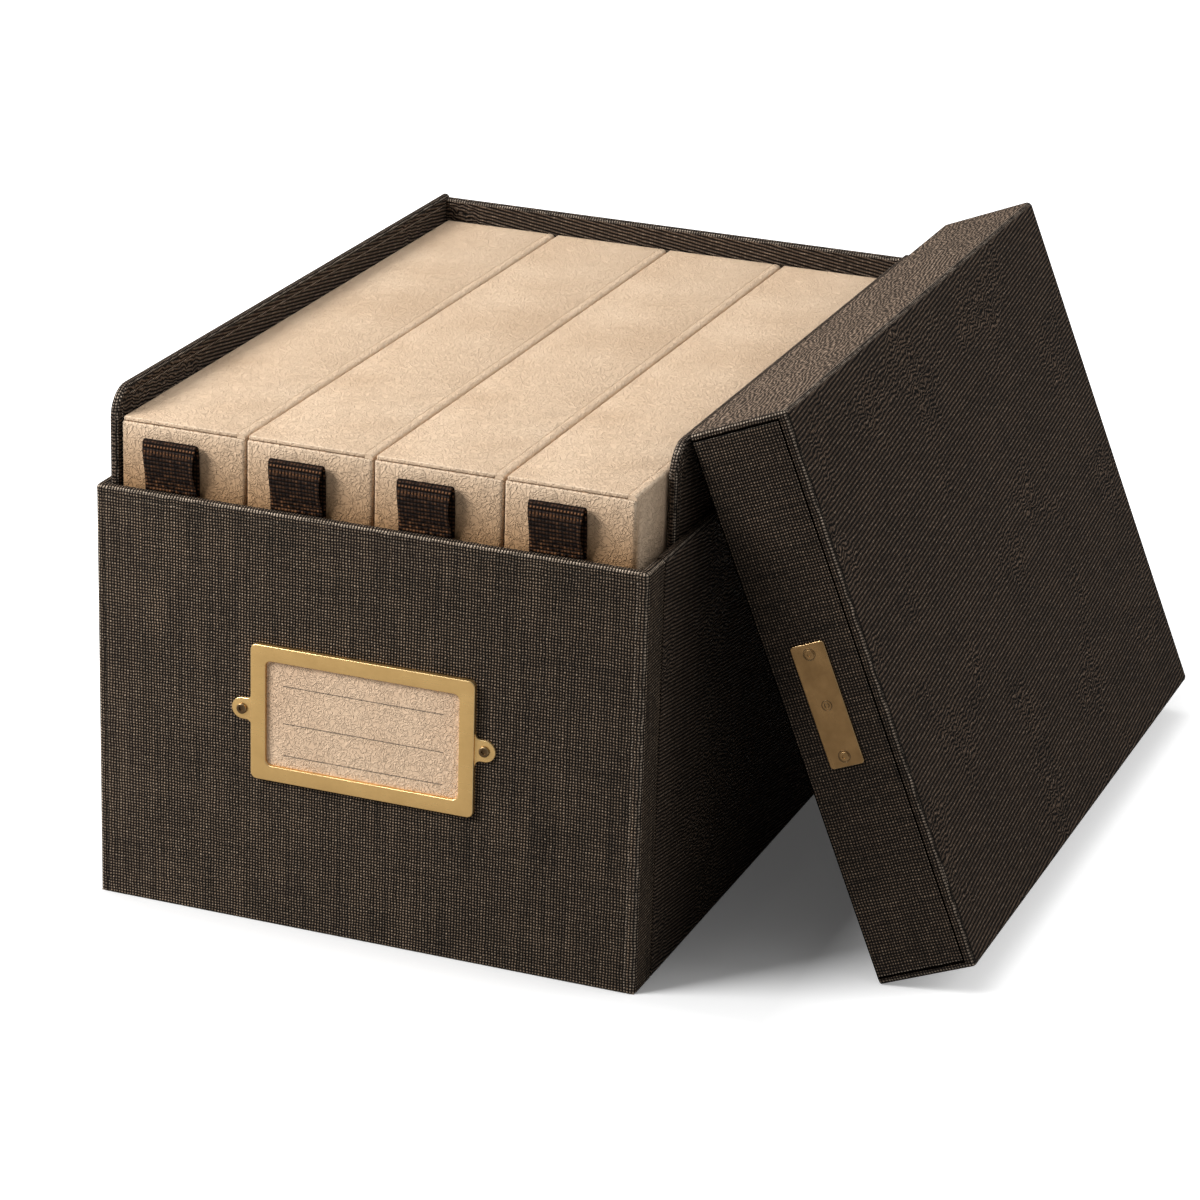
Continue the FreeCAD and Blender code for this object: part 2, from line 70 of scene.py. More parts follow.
EAR_RADIUS = 3.9 * MM
PIN_HEAD = 1.9 * MM
PIN_HEIGHT = 0.75 * MM
PIN_SHANK = 1.2 * MM
PIN_SOCKET = 0.55 * MM
PLATE_LENGTH = 44 * MM
PLATE_WIDTH = 12.4 * MM
PLATE_MIDDLE = 15.4 * MM     # above the lid's rim
PLATE_THICK = 0.8 * MM
PLATE_CORNER = 1.2 * MM
SCREW_PLACE = 18.3 * MM      # either side of the plate's middle
SCREW_HEAD = 1.6 * MM
SCREW_HEIGHT = 0.38 * MM
SCREW_SHANK = 0.9 * MM
SCREW_BITE = 1.9 * MM        # past the plate, through the cloth and into the board
SCREW_SOCKET = 0.3 * MM
RIBBON_THICK = 0.62 * MM

# Two places closer than this are one place.
TOUCH = 0.001 * MM


# ---------------------------------------------------------------- hand tools

def put_down():
    """Leave edit mode and let go of everything."""
    if bpy.context.object is not None and bpy.context.object.mode != "OBJECT":
        bpy.ops.object.mode_set(mode="OBJECT")
    bpy.ops.object.select_all(action="DESELECT")


def take_up(piece):
    """Hold one piece only."""
    put_down()
    piece.select_set(True)
    bpy.context.view_layer.objects.active = piece


def named(name):
    """Name the piece that was just added and leave its place in its mesh."""
    piece = bpy.context.object
    piece.name = name
    piece.data.name = name
    bpy.ops.object.transform_apply(location=True, rotation=True, scale=True)
    return piece


def blank(name, low, high):
    """A rectangular blank, from its lowest corner to its highest."""
    low, high = Vector(low), Vector(high)
    put_down()
    bpy.ops.mesh.primitive_cube_add(size=1, location=(low + high) / 2)
    bpy.context.object.scale = high - low
    return named(name)


def round_blank(name, centre, radius, depth, sides):
    """A round blank that faces the front."""
    put_down()
    bpy.ops.mesh.primitive_cylinder_add(vertices=sides, radius=radius, depth=depth,
                                        location=centre, rotation=(math.pi / 2, 0, 0))
    return named(name)


def footprint(name, low, high, floor):
    """A flat rectangle seen from above, ready to be raised."""
    put_down()
    middle = ((low[0] + high[0]) / 2, (low[1] + high[1]) / 2, floor)
    bpy.ops.mesh.primitive_plane_add(size=1, location=middle)
    bpy.context.object.scale = (high[0] - low[0], high[1] - low[1], 1)
    return named(name)


def lies(element, **places):
    """True if every corner of the edge or face is at, or between, the places given."""
    corners = getattr(element, "verts", None) or [element]
    for axis, place in places.items():
        low, high = place if isinstance(place, tuple) else (place, place)
        for corner in corners:
            if not low - TOUCH <= getattr(corner.co, axis) <= high + TOUCH:
                return False
    return True


def upright(edge):
    """True for an edge that runs straight up."""
    first, second = edge.verts
    return (first.co.xy - second.co.xy).length < TOUCH


def sharp(edge):
    """True for an edge where two faces meet at an angle."""
    return len(edge.link_faces) == 2 and edge.calc_face_angle(0) > 0.5


def pick(piece, kind, wanted):
    """In edit mode, select just the points, edges or faces that are wanted."""
    take_up(piece)
    bpy.ops.object.mode_set(mode="EDIT")
    bpy.ops.mesh.select_mode(type=kind)
    bpy.ops.mesh.select_all(action="DESELECT")
    mesh = bmesh.from_edit_mesh(piece.data)
    mesh.normal_update()
    for element in {"VERT": mesh.verts, "EDGE": mesh.edges, "FACE": mesh.faces}[kind]:
        if wanted(element):
            element.select_set(True)
    mesh.select_flush_mode()
    bmesh.update_edit_mesh(piece.data)


def pick_all(piece, kind="FACE"):
    """In edit mode, select every point, edge or face."""
    pick(piece, kind, lambda element: True)


def push(move):
    """Extrude what is selected and move it."""
    bpy.ops.mesh.extrude_region_move(TRANSFORM_OT_translate={"value": move})


def shift(move):
    """Move what is selected."""
    bpy.ops.transform.translate(value=move)


def cut_across(piece, axis, places):
    """Score the whole piece across one axis at each place."""
    direction = {"x": Vector((1, 0, 0)), "y": Vector((0, 1, 0)), "z": Vector((0, 0, 1))}[axis]
    for place in places:
        pick_all(piece)
        bpy.ops.mesh.bisect(plane_co=direction * place, plane_no=direction)


def remove(piece, wanted):
    """Take away the faces that are wanted."""
    pick(piece, "FACE", wanted)
    bpy.ops.mesh.delete(type="FACE")


def roundover(piece, wanted, radius, steps=4):
    """Round the edges that are wanted."""
    pick(piece, "EDGE", wanted)
    bpy.ops.mesh.bevel(offset=radius, segments=steps, affect="EDGES", profile=0.5)


def swell(piece, wanted, amount):
    """Plump the faces that are wanted outwards a little."""
    pick(piece, "FACE", wanted)
    bpy.ops.transform.shrink_fatten(value=amount)


def rounded(face):
    """True for a face of a rounding, which looks along no axis."""
    return max(abs(part) for part in face.normal) < 0.995


def face_outwards(piece):
    """Close doubled corners and turn every face outwards."""
    pick_all(piece)
    bpy.ops.mesh.remove_doubles(threshold=1e-7)
    bpy.ops.mesh.normals_make_consistent(inside=False)


def apply_modifier(piece, kind, **settings):
    """Set up one modifier and make it final."""
    take_up(piece)
    modifier = piece.modifiers.new(kind.lower(), kind)
    for setting, amount in settings.items():
        setattr(modifier, setting, amount)
    bpy.ops.object.modifier_apply(modifier=modifier.name)


def thicken(piece, thickness):
    """Give a skin its thickness, inwards from its outer face."""
    apply_modifier(piece, "SOLIDIFY", thickness=thickness, offset=-1, use_even_offset=True)


def join(pieces, name):
    """Make several shapes one piece."""
    put_down()
    for piece in pieces:
        piece.select_set(True)
    bpy.context.view_layer.objects.active = pieces[0]
    bpy.ops.object.join()
    return named(name)


def copy_of(piece, name, move):
    """A copy with its own mesh, moved to its place."""
    twin = piece.copy()
    twin.data = piece.data.copy()
    twin.name = name
    twin.data.name = name
    bpy.context.scene.collection.objects.link(twin)
    twin.data.transform(Matrix.Translation(move))
    return twin


def unfold(piece):
    """Lay every face flat at true size in the piece's map, in metres, for its weave."""
    pick_all(piece)
    bpy.ops.uv.cube_project(cube_size=1.0, correct_aspect=False)


def mark_edges(piece):
    """Record how far each face turns from the flats, on all but downward faces: scuffing and
    painted highlight.
    """
    edge_marks = piece.data.attributes.new("scuff_and_highlight", "FLOAT", "FACE")
    flattest = 1 - 1 / math.sqrt(2)
    for face, cell in zip(piece.data.polygons, edge_marks.data):
        turned = 1 - max(abs(part) for part in face.normal)
        cell.value = min(1.0, turned / flattest) if face.normal.z > -0.1 else 0.0


def surface(piece, smooth_angle=40):
    """Unfold, mark the edges and smooth the roundings of a finished piece."""
    put_down()
    unfold(piece)
    put_down()
    mark_edges(piece)
    take_up(piece)
    bpy.ops.object.shade_smooth_by_angle(angle=math.radians(smooth_angle))
    put_down()


def fit(piece, body, nodes, finish):
    """Send a piece off with its body, the nodes it stands for and its finish."""
    piece.data.materials.clear()
    piece.data.materials.append(finish)
    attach(piece, body)
    if nodes:
        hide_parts(*nodes)


# ---------------------------------------------------------------- node tools

def feed(tree, node, inputs):
    """Link or set some of a node's inputs."""
    for key, source in inputs.items():
        if isinstance(source, bpy.types.NodeSocket):
            tree.links.new(source, node.inputs[key])
        else:
            node.inputs[key].default_value = source


def add(tree, kind, inputs=None, **settings):
    """Add a node, set it up and feed it."""
    made = tree.nodes.new("ShaderNode" + kind)
    for setting, choice in settings.items():
        setattr(made, setting, choice)
    feed(tree, made, inputs or {})
    return made


def calc(tree, operation, first, second=0.0, clamp=False):
    """One sum on values."""
    return add(tree, "Math", {0: first, 1: second}, operation=operation,
               use_clamp=clamp).outputs[0]


def times(tree, first, second, clamp=False):
    """One value times another."""
    return calc(tree, "MULTIPLY", first, second, clamp)


def plus(tree, first, second, clamp=False):
    """One value and another together."""
    return calc(tree, "ADD", first, second, clamp)


def apart(tree, first, second):
    """How far two values are apart."""
    return calc(tree, "ABSOLUTE", calc(tree, "SUBTRACT", first, second))


def place_in_box(tree):
    """The place's x, y and z in the object's own measure."""
    return add(tree, "SeparateXYZ", {0: add(tree, "TexCoord").outputs["Object"]}).outputs


def thin_rows(tree, place, rows, full, clear):
    """Thin lines at each of the rows, full in their middle and gone at their edge."""
    lines = None
    for row in rows:
        line = span(tree, apart(tree, place, row), full, clear, 1.0, 0.0)
        lines = line if lines is None else calc(tree, "MAXIMUM", lines, line)
    return lines


def scaled(tree, vector, amount):
    """A place or direction times one number."""
    return add(tree, "VectorMath", {0: vector, "Scale": amount},
               operation="SCALE").outputs[0]


def moved(tree, vector, offset):
    """A place shifted by another."""
    return add(tree, "VectorMath", {0: vector, 1: offset}, operation="ADD").outputs[0]


def stretched(tree, vector, factors):
    """A place times a number for each axis."""
    return add(tree, "VectorMath", {0: vector, 1: factors},
               operation="MULTIPLY").outputs[0]


def noise(tree, vector, scale, detail=2.0, rough=0.5, distortion=0.0):
    """Smooth random values over the surface."""
    return add(tree, "TexNoise", {"Vector": vector, "Scale": scale, "Detail": detail,
                                  "Roughness": rough, "Distortion": distortion})


def span(tree, amount, low, high, new_low=0.0, new_high=1.0):
    """Map a value from one range to another, held at both ends."""
    return add(tree, "MapRange", {"Value": amount, "From Min": low, "From Max": high,
                                  "To Min": new_low, "To Max": new_high}).outputs[0]


def blend_colour(tree, amount, first, second):
    """Go from the first colour to the second."""
    return add(tree, "Mix", {0: amount, 6: first, 7: second}, data_type="RGBA").outputs[2]


def blend_value(tree, amount, first, second):
    """Go from the first value to the second."""
    return add(tree, "Mix", {0: amount, 2: first, 3: second}, data_type="FLOAT").outputs[0]


def new_group(name, inputs):
    """A shared effect: its tree, what it is given and the three results it puts out."""
    tree = bpy.data.node_groups.new(name, "ShaderNodeTree")
    for label, kind, start in inputs:
        socket = tree.interface.new_socket(name=label, in_out="INPUT",
                                           socket_type="NodeSocket" + kind)
        if start is not None:
            socket.default_value = start
    for label, kind in (("Colour", "Color"), ("Relief", "Float"), ("Dryness", "Float")):
        tree.interface.new_socket(name=label, in_out="OUTPUT",
                                  socket_type="NodeSocket" + kind)
    given = tree.nodes.new("NodeGroupInput").outputs
    out = tree.nodes.new("NodeGroupOutput").inputs
    return tree, given, out


def send(tree, outputs, **sources):
    """Link each result of a shared effect to the output of its name."""
    for label, source in sources.items():
        tree.links.new(source, outputs[label])


def new_material(name):
    """A material with its tree and its shader."""
    material = bpy.data.materials.new(name)
    material.use_nodes = True
    return material, material.node_tree, material.node_tree.nodes["Principled BSDF"]


# ---------------------------------------------------------------- shared effects

def build_weave():
    """Threads of a book cloth: warp and weft dots, uneven slubs, and a slanted ribbed face."""
    tree, given, out = new_group(
        "book cloth weave",
        [("Place", "Vector", None), ("Pitch", "Float", 1.3 * MM), ("Slant", "Float", 0.0),
         ("Slubs", "Float", 0.5), ("Gap", "Color", (0.01, 0.008, 0.007, 1)),
         ("Thread", "Color", (0.15, 0.12, 0.09, 1)), ("Fleck", "Color", (0.4, 0.33, 0.25, 1)),
         ("Lay", "Vector", (0.15, 0.99, 0)), ("Curls", "Float", 0.02),
         ("Scuff_and_highlight", "Float", 0.0)])
    place = given["Place"]
    drift = noise(tree, place, 55, 2)
    wander = moved(tree, noise(tree, place, 210, 2).outputs["Color"], (-0.5, -0.5, -0.5))
    loose = times(tree, given["Pitch"], 0.9)
    threads = moved(tree, place, scaled(tree, wander, loose))
    per_thread = calc(tree, "DIVIDE", math.pi, given["Pitch"])
    angle = add(tree, "SeparateXYZ", {0: scaled(tree, threads, per_thread)}).outputs
    across = calc(tree, "SINE", angle["X"])
    along = calc(tree, "SINE", angle["Y"])
    crossing = times(tree, across, along)
    dots = calc(tree, "POWER", calc(tree, "ABSOLUTE", crossing), 1.15)
    over = span(tree, crossing, -0.35, 0.35, 0.88, 1.0)
    plain = times(tree, dots, over)
    # The slanted face: diagonal ribs that break up into curls where the cloth was sized.
    broken = noise(tree, moved(tree, place, (3.1, 1.7, 0)), 26, 2).outputs[0]
    broken = span(tree, plus(tree, broken, given["Curls"]), 0.5, 0.66, 0.35, 5.0)
    curl = times(tree, given["Pitch"], broken)
    bent = moved(tree, place, scaled(tree, wander, curl))
    ribs = scaled(tree, scaled(tree, bent, per_thread), 0.76)
    ribs = add(tree, "VectorMath", {0: ribs, 1: given["Lay"]},
               operation="DOT_PRODUCT").outputs["Value"]
    ridge = calc(tree, "ABSOLUTE", calc(tree, "SINE", ribs))
    ridge = times(tree, calc(tree, "POWER", ridge, 1.5),
                 span(tree, dots, 0.0, 0.7, 0.66, 1.0))
    slanted = calc(tree, "SUBTRACT", given["Slant"],
                   times(tree, given["Scuff_and_highlight"], 3.0), True)
    relief = blend_value(tree, slanted, plain, ridge)
    # Slubs: single threads that run lighter or darker for a way.
    upright_threads = noise(tree, stretched(tree, place, (520, 22, 1)), 1, 2).outputs[0]
    level_threads = noise(tree, stretched(tree, place, (20, 480, 1)), 1, 2).outputs[0]
    slub = plus(tree, times(tree, upright_threads, 0.65),
                times(tree, level_threads, 0.35))
    slub = span(tree, slub, 0.34, 0.66, 0.25, 1.55)
    slub = blend_value(tree, given["Slubs"], 1.0, slub)
    spots = span(tree, noise(tree, place, 620, 1).outputs[0], 0.5, 0.72)
    lit = times(tree, calc(tree, "POWER", relief, 1.8), slub)
    patch = span(tree, drift.outputs[0], 0.3, 0.7, 0.82, 1.16)
    lit = times(tree, lit, patch)
    colour = blend_colour(tree, times(tree, lit, 1.0, True), given["Gap"],
                          given["Thread"])
    fleck = times(tree, calc(tree, "POWER", relief, 3.0), spots)
    fleck = times(tree, fleck, 0.75, True)
    colour = blend_colour(tree, fleck, colour, given["Fleck"])
    # On the roundings the thread tops turn light and glossy: partly scuffing, partly a painted
    # highlight.
    scuff_and_highlight = times(tree, given["Scuff_and_highlight"], calc(tree, "POWER", relief, 1.7))
    scuff_and_highlight = times(tree, scuff_and_highlight,
                  span(tree, noise(tree, place, 300, 2).outputs[0], 0.35, 0.65, 0.6, 1.9), True)
    scuff_and_highlight_colour = blend_colour(tree, 0.7, given["Fleck"], (0.74, 0.62, 0.5, 1))
    colour = blend_colour(tree, scuff_and_highlight, colour, scuff_and_highlight_colour)
    dryness = span(tree, relief, 0.0, 1.0, 0.9, 0.6)
    dryness = blend_value(tree, scuff_and_highlight, dryness, 0.36)
    send(tree, out, Colour=colour, Relief=relief, Dryness=dryness)
    return tree


def build_fibre():
    """The grain of a laid-on paper: shallow curls, fine fibres and slow cloudy tints."""
    tree, given, out = new_group(
        "paper fibre",
        [("Place", "Vector", None), ("Curl", "Float", 260.0),
         ("Light", "Color", (0.7, 0.5, 0.35, 1)), ("Dark", "Color", (0.6, 0.42, 0.28, 1)),
         ("Scuff_and_highlight", "Float", 0.0)])
    place = given["Place"]
    swirl = noise(tree, place, given["Curl"], 1.5, 0.5, 1.1).outputs[0]
    curls = apart(tree, swirl, 0.5)
    curls = span(tree, curls, 0.0, 0.07, 1.0, 0.0)
    half = times(tree, given["Curl"], 0.55)
    second = noise(tree, moved(tree, place, (0.7, 0.3, 0.1)), half, 2, 0.5, 1.6).outputs[0]
    second = apart(tree, second, 0.5)
    second = span(tree, second, 0.0, 0.05, 1.0, 0.0)
    fibres = noise(tree, place, 1900, 3).outputs[0]
    relief = plus(tree, times(tree, curls, 0.65),
                  times(tree, second, 0.4))
    relief = plus(tree, relief, times(tree, fibres, 0.18))
    cloud = span(tree, noise(tree, place, 26, 3).outputs[0], 0.3, 0.72)
    tint = plus(tree, times(tree, cloud, 0.6),
                times(tree, fibres, 0.3))
    tint = plus(tree, tint, times(tree, relief, 0.12), True)
    colour = blend_colour(tree, tint, given["Dark"], given["Light"])
    # Lighter edges: partly scuffing, partly a painted highlight.
    scuff_and_highlight = times(tree, given["Scuff_and_highlight"], 0.45)
    colour = blend_colour(tree, scuff_and_highlight, colour, (0.92, 0.76, 0.58, 1))
    send(tree, out, Colour=colour, Relief=relief,
         Dryness=span(tree, fibres, 0.3, 0.7, 0.62, 0.8))
    return tree


def build_patina():
    """Satin metal: fine brushing, cloudy tarnish, and bright edges, part scuffing, part painted
    highlight.
    """
    tree, given, out = new_group(
        "metal patina",
        [("Place", "Vector", None), ("Metal", "Color", (0.6, 0.42, 0.2, 1)),
         ("Tarnish", "Color", (0.3, 0.2, 0.09, 1)), ("Bright", "Color", (0.9, 0.72, 0.42, 1)),
         ("Age", "Float", 0.5), ("Scuff_and_highlight", "Float", 0.0)])
    place = given["Place"]
    brushed = noise(tree, stretched(tree, place, (90, 2600, 2600)), 1, 3).outputs[0]
    clouds = span(tree, noise(tree, place, 120, 4, 0.6).outputs[0], 0.35, 0.7)
    specks = span(tree, noise(tree, place, 1500, 3).outputs[0], 0.55, 0.75)
    dull = times(tree, given["Age"],
                plus(tree, clouds, times(tree, specks, 0.1)), True)
    colour = blend_colour(tree, dull, given["Metal"], given["Tarnish"])
    # Bright edges: partly scuffing, partly a painted highlight.
    colour = blend_colour(tree, times(tree, given["Scuff_and_highlight"], 0.85), colour,
                          given["Bright"])
    rough = plus(tree, span(tree, brushed, 0.3, 0.7, 0.24, 0.36),
                 times(tree, dull, 0.16))
    send(tree, out, Colour=colour, Relief=brushed, Dryness=rough)
    return tree


WEAVE = build_weave()
FIBRE = build_fibre()
PATINA = build_patina()


# ---------------------------------------------------------------- finishes

def finish_from(name, effect, choices, relief_depth, relief_strength=1.0, uses_map=True,
                metal=0.0, specular=0.5, extra=None):
    """A material around one shared effect: its colour, dryness and relief feed the shader."""
    material, tree, shader = new_material(name)
    coordinates = add(tree, "TexCoord").outputs["UV" if uses_map else "Object"]
    group = add(tree, "Group", node_tree=effect)
    feed(tree, group, choices | {"Place": coordinates})
    if uses_map:
        # The edge mark, where scuffing and a painted highlight go.
        scuff_and_highlight = add(tree, "Attribute", attribute_name="scuff_and_highlight").outputs["Fac"]
        feed(tree, group, {"Scuff_and_highlight": scuff_and_highlight})
    colour = group.outputs["Colour"]
    if extra is not None:
        colour = extra(tree, coordinates, colour)
    bump = add(tree, "Bump", {"Height": group.outputs["Relief"], "Distance": relief_depth,
                              "Strength": relief_strength})
    feed(tree, shader, {"Base Color": colour, "Roughness": group.outputs["Dryness"],
                        "Normal": bump.outputs["Normal"], "Metallic": metal,
                        "Specular IOR Level": specular})
    return material


FRONT_CHOICES = {
    "Pitch": 1.06 * MM, "Slant": 0.0, "Slubs": 0.65, "Gap": (0.003, 0.002, 0.0014, 1),
    "Thread": (0.34, 0.238, 0.16, 1), "Fleck": (0.74, 0.57, 0.41, 1),
}
SIDE_CHOICES = {
    "Pitch": 1.0 * MM, "Slant": 1.0, "Slubs": 0.4, "Gap": (0.003, 0.002, 0.0014, 1),
    "Thread": (0.2, 0.138, 0.096, 1), "Fleck": (0.5, 0.37, 0.27, 1),
}
FRONT_CLOTH = finish_from("front book cloth", WEAVE, FRONT_CHOICES, 0.7 * MM, specular=0.16)
# Painted light and shade: the lid's cloths are copies of the base's, painted darker on its ends,
# a little darker on its top and lighter on its upper long side; lay, pitch and curls differ too.
SHADED_LID_END_CLOTH = finish_from(
    "lid end book cloth in painted shade", WEAVE,
    FRONT_CHOICES | {"Thread": (0.18, 0.122, 0.081, 1), "Fleck": (0.46, 0.34, 0.24, 1)},
    0.7 * MM, specular=0.16)
SIDE_CLOTH = finish_from("side book cloth", WEAVE, SIDE_CHOICES, 0.9 * MM, specular=0.14)
SHADED_LID_TOP_CLOTH = finish_from(
    "lid top book cloth in painted shade", WEAVE,
    SIDE_CHOICES | {"Pitch": 1.18 * MM, "Lay": (0.994, 0.11, 0), "Curls": -0.03,
                    "Thread": (0.175, 0.114, 0.075, 1), "Gap": (0.003, 0.002, 0.0015, 1)},
    0.9 * MM, specular=0.14)
LIT_LID_SIDE_CLOTH = finish_from(
    "lid side book cloth in painted light", WEAVE,
    SIDE_CHOICES | {"Pitch": 1.25 * MM, "Curls": 0.2, "Thread": (0.33, 0.233, 0.166, 1),
                    "Gap": (0.035, 0.025, 0.018, 1), "Fleck": (0.62, 0.47, 0.35, 1)},
    0.6 * MM, specular=0.14)


def front_wall_shade(tree, _, colour):
    """Painted shade on the fronts, darker just above the rim of the box."""
    place = place_in_box(tree)
    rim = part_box("front_cloth")[1].z
    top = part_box("case_1_flap")[0].z
    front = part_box("case_1_front")[0].y
    above = span(tree, place["Z"], rim - 2 * MM, top - 2 * MM, 1.0, 0.0)
    above = calc(tree, "POWER", above, 0.7)
    below = span(tree, place["Z"], rim - 45 * MM, rim - 3 * MM, 0.3, 1.0)
    behind = span(tree, place["Y"], front + 0.8 * MM, front + 5 * MM, 1.0, 0.0)
    amount = times(tree, times(tree, above, below), behind)
    return blend_colour(tree, amount, colour, (0.36, 0.2, 0.09, 1))


PAPER_CHOICES = {"Curl": 400.0, "Light": (0.82, 0.625, 0.445, 1),
                 "Dark": (0.64, 0.45, 0.295, 1)}
CASE_PAPER = finish_from("case paper", FIBRE, PAPER_CHOICES, 0.36 * MM, 1.0, specular=0.2)
# The walls' paper carries painted shade on the case fronts, just above the rim of the box.
CASE_WALL_PAPER = finish_from("case wall paper", FIBRE, PAPER_CHOICES, 0.42 * MM, 1.0,
                              specular=0.2, extra=front_wall_shade)


def plain_paper(name, curl, light, dark, depth, strength, specular, extra=None):
    """Paper or board that needs no map, from its two tints."""
    return finish_from(name, FIBRE, {"Curl": curl, "Light": light, "Dark": dark}, depth,
                       strength, uses_map=False, specular=specular, extra=extra)


CASE_PAPER_PLAIN = plain_paper("case paper inside", 300.0, (0.66, 0.5, 0.35, 1),
                               (0.55, 0.4, 0.27, 1), 0.2 * MM, 0.5, 0.3)
LINING_PAPER = plain_paper("lining paper", 200.0, (0.34, 0.27, 0.2, 1),
                           (0.26, 0.2, 0.15, 1), 0.12 * MM, 0.5, 0.3)
GREYBOARD = plain_paper("grey board", 420.0, (0.3, 0.28, 0.25, 1),
                        (0.2, 0.185, 0.165, 1), 0.1 * MM, 0.6, 0.2)


def brass_finish(name, metal, tarnish, bright, age, cover):
    """Brass, from its bare and tarnished colours, its edge colour (scuffing and painted
    highlight) and its age.
    """
    colours = {"Metal": metal, "Tarnish": tarnish, "Bright": bright, "Age": age}
    return finish_from(name, PATINA, colours, 0.02 * MM, 0.6, metal=cover)


BRASS = brass_finish("satin brass", (0.86, 0.55, 0.215, 1), (0.6, 0.36, 0.125, 1),
                     (0.95, 0.72, 0.38, 1), 0.35, 0.88)
AGED_BRASS = brass_finish("aged brass", (0.36, 0.21, 0.085, 1), (0.2, 0.112, 0.042, 1),
                          (0.8, 0.56, 0.29, 1), 0.6, 0.9)
DARK_BRASS = brass_finish("darkened brass", (0.17, 0.1, 0.045, 1), (0.05, 0.028, 0.014, 1),
                          (0.62, 0.44, 0.23, 1), 0.8, 0.9)


def ruled_lines(tree, coordinates, colour):
    """Three thin ruled lines on the card, between the same two margins."""
    middle = (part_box("label_holder")[0].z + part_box("label_holder")[1].z) / 2
    place = add(tree, "SeparateXYZ", {0: coordinates}).outputs
    inside = calc(tree, "LESS_THAN", calc(tree, "ABSOLUTE", place["X"]), 29.35 * MM)
    rows = [middle + height for height in (10.4 * MM, -3.2 * MM, -14.8 * MM)]
    ink = thin_rows(tree, place["Z"], rows, 0.12 * MM, 0.3 * MM)
    patchy = span(tree, noise(tree, coordinates, 900, 2).outputs[0], 0.3, 0.7, 0.65, 0.95)
    ink = times(tree, times(tree, ink, inside), patchy)
    return blend_colour(tree, ink, colour, (0.13, 0.1, 0.075, 1))


CARD = plain_paper("ruled card", 460.0, (0.88, 0.66, 0.46, 1), (0.7, 0.48, 0.315, 1),
                   0.36 * MM, 1.0, 0.25, ruled_lines)
# Painted shade: near-black cloth for the floors of grooves and the ends tucked under the
# returns.
SEAM_SHADE_CLOTH = finish_from(
    "cloth deep in a seam, painted shade", WEAVE,
    {"Pitch": 1.1 * MM, "Slant": 0.0, "Slubs": 0.3, "Gap": (0.001, 0.0008, 0.0006, 1),
     "Thread": (0.004, 0.003, 0.0024, 1), "Fleck": (0.006, 0.0045, 0.0035, 1)},
    0.1 * MM, specular=0.0)


def build_grosgrain():
    """Ribbed ribbon: cords across the width, fine warp over them, stitching by the fold."""
    material, tree, shader = new_material("grosgrain ribbon")
    place = add(tree, "TexCoord").outputs["UV"]
    wander = moved(tree, noise(tree, place, 240, 2).outputs["Color"], (-0.5, -0.5, -0.5))
    place = moved(tree, place, scaled(tree, wander, 0.25 * MM))
    along = add(tree, "SeparateXYZ", {0: place}).outputs
    cords = calc(tree, "SINE", times(tree, along["Y"], math.pi / (1.4 * MM)))
    cords = calc(tree, "POWER", calc(tree, "ABSOLUTE", cords), 0.7)
    warp = calc(tree, "SINE", times(tree, along["X"], math.pi / (1.2 * MM)))
    warp = calc(tree, "POWER", calc(tree, "ABSOLUTE", warp), 0.8)
    relief = times(tree, cords,
                  plus(tree, times(tree, warp, 0.5), 0.5))
    # Painted highlight: copper glints on the cord tops.
    glints = span(tree, noise(tree, place, 520, 2).outputs[0], 0.42, 0.7)
    ground = blend_colour(tree, calc(tree, "POWER", relief, 1.6), (0.001, 0.0005, 0.0003, 1),
                          (0.015, 0.0055, 0.0022, 1))
    shine = times(tree, calc(tree, "POWER", relief, 3.0), glints)
    # Two rows of copper-coloured stitches hold the fold; the painted glints are strongest on the
    # lowest cords.
    height = place_in_box(tree)["Z"]
    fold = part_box("case_1_ribbon")[1].z
    rows = [fold - drop for drop in (1.9 * MM, 3.9 * MM)]
    stitches = thin_rows(tree, height, rows, 0.2 * MM, 0.45 * MM)
    stitches = times(tree, stitches, span(tree, warp, 0.5, 0.9, 0.0, 0.75), True)
    low_cords = span(tree, height, fold - 17 * MM, fold - 11 * MM, 1.1, 0.0)
    shine = times(tree, shine, plus(tree, low_cords, 0.45), True)
    shine = calc(tree, "MAXIMUM", shine, stitches)
    colour = blend_colour(tree, shine, ground, (0.26, 0.115, 0.05, 1))
    raised = plus(tree, relief, stitches)
    bump = add(tree, "Bump", {"Height": raised, "Distance": 0.4 * MM, "Strength": 1.0})
    feed(tree, shader, {"Base Color": colour, "Normal": bump.outputs["Normal"],
                        "Roughness": span(tree, relief, 0.0, 1.0, 0.85, 0.5),
                        "Specular IOR Level": 0.12})
    return material


RIBBON = build_grosgrain()


def lay_faces(piece, finish, numbers):
    """Give some faces of a piece a finish of their own."""
    piece.data.materials.append(finish)
    for number in numbers:
        piece.data.polygons[number].material_index = len(piece.data.materials) - 1


# ---------------------------------------------------------------- base covers

FRONT_LOW, FRONT_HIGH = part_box("front_cloth")
BODY_LOW, BODY_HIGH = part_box("body_cloth")
SIDE_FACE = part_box("floor_board")[1].x - COVER_INSIDE
FRONT_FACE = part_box("front_board")[1].y + COVER
BACK_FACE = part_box("back_board")[0].y - COVER_INSIDE
RIM = FRONT_HIGH.z
RIM_BEAD = 2 * MM
RIM_FOOT = RIM - 3.6 * MM        # where the cloth lies flat again under the bead
SEAM = FRONT_HIGH.y
SEAM_GAP = 1.25 * MM
UNDER_RETURN = 3 * MM            # how far the side cloth runs on under the front cloth


def on_bead(face):
    """True for a face of the rounded bead along the rim."""
    return rounded(face) and lies(face, z=(RIM - RIM_BEAD, RIM))


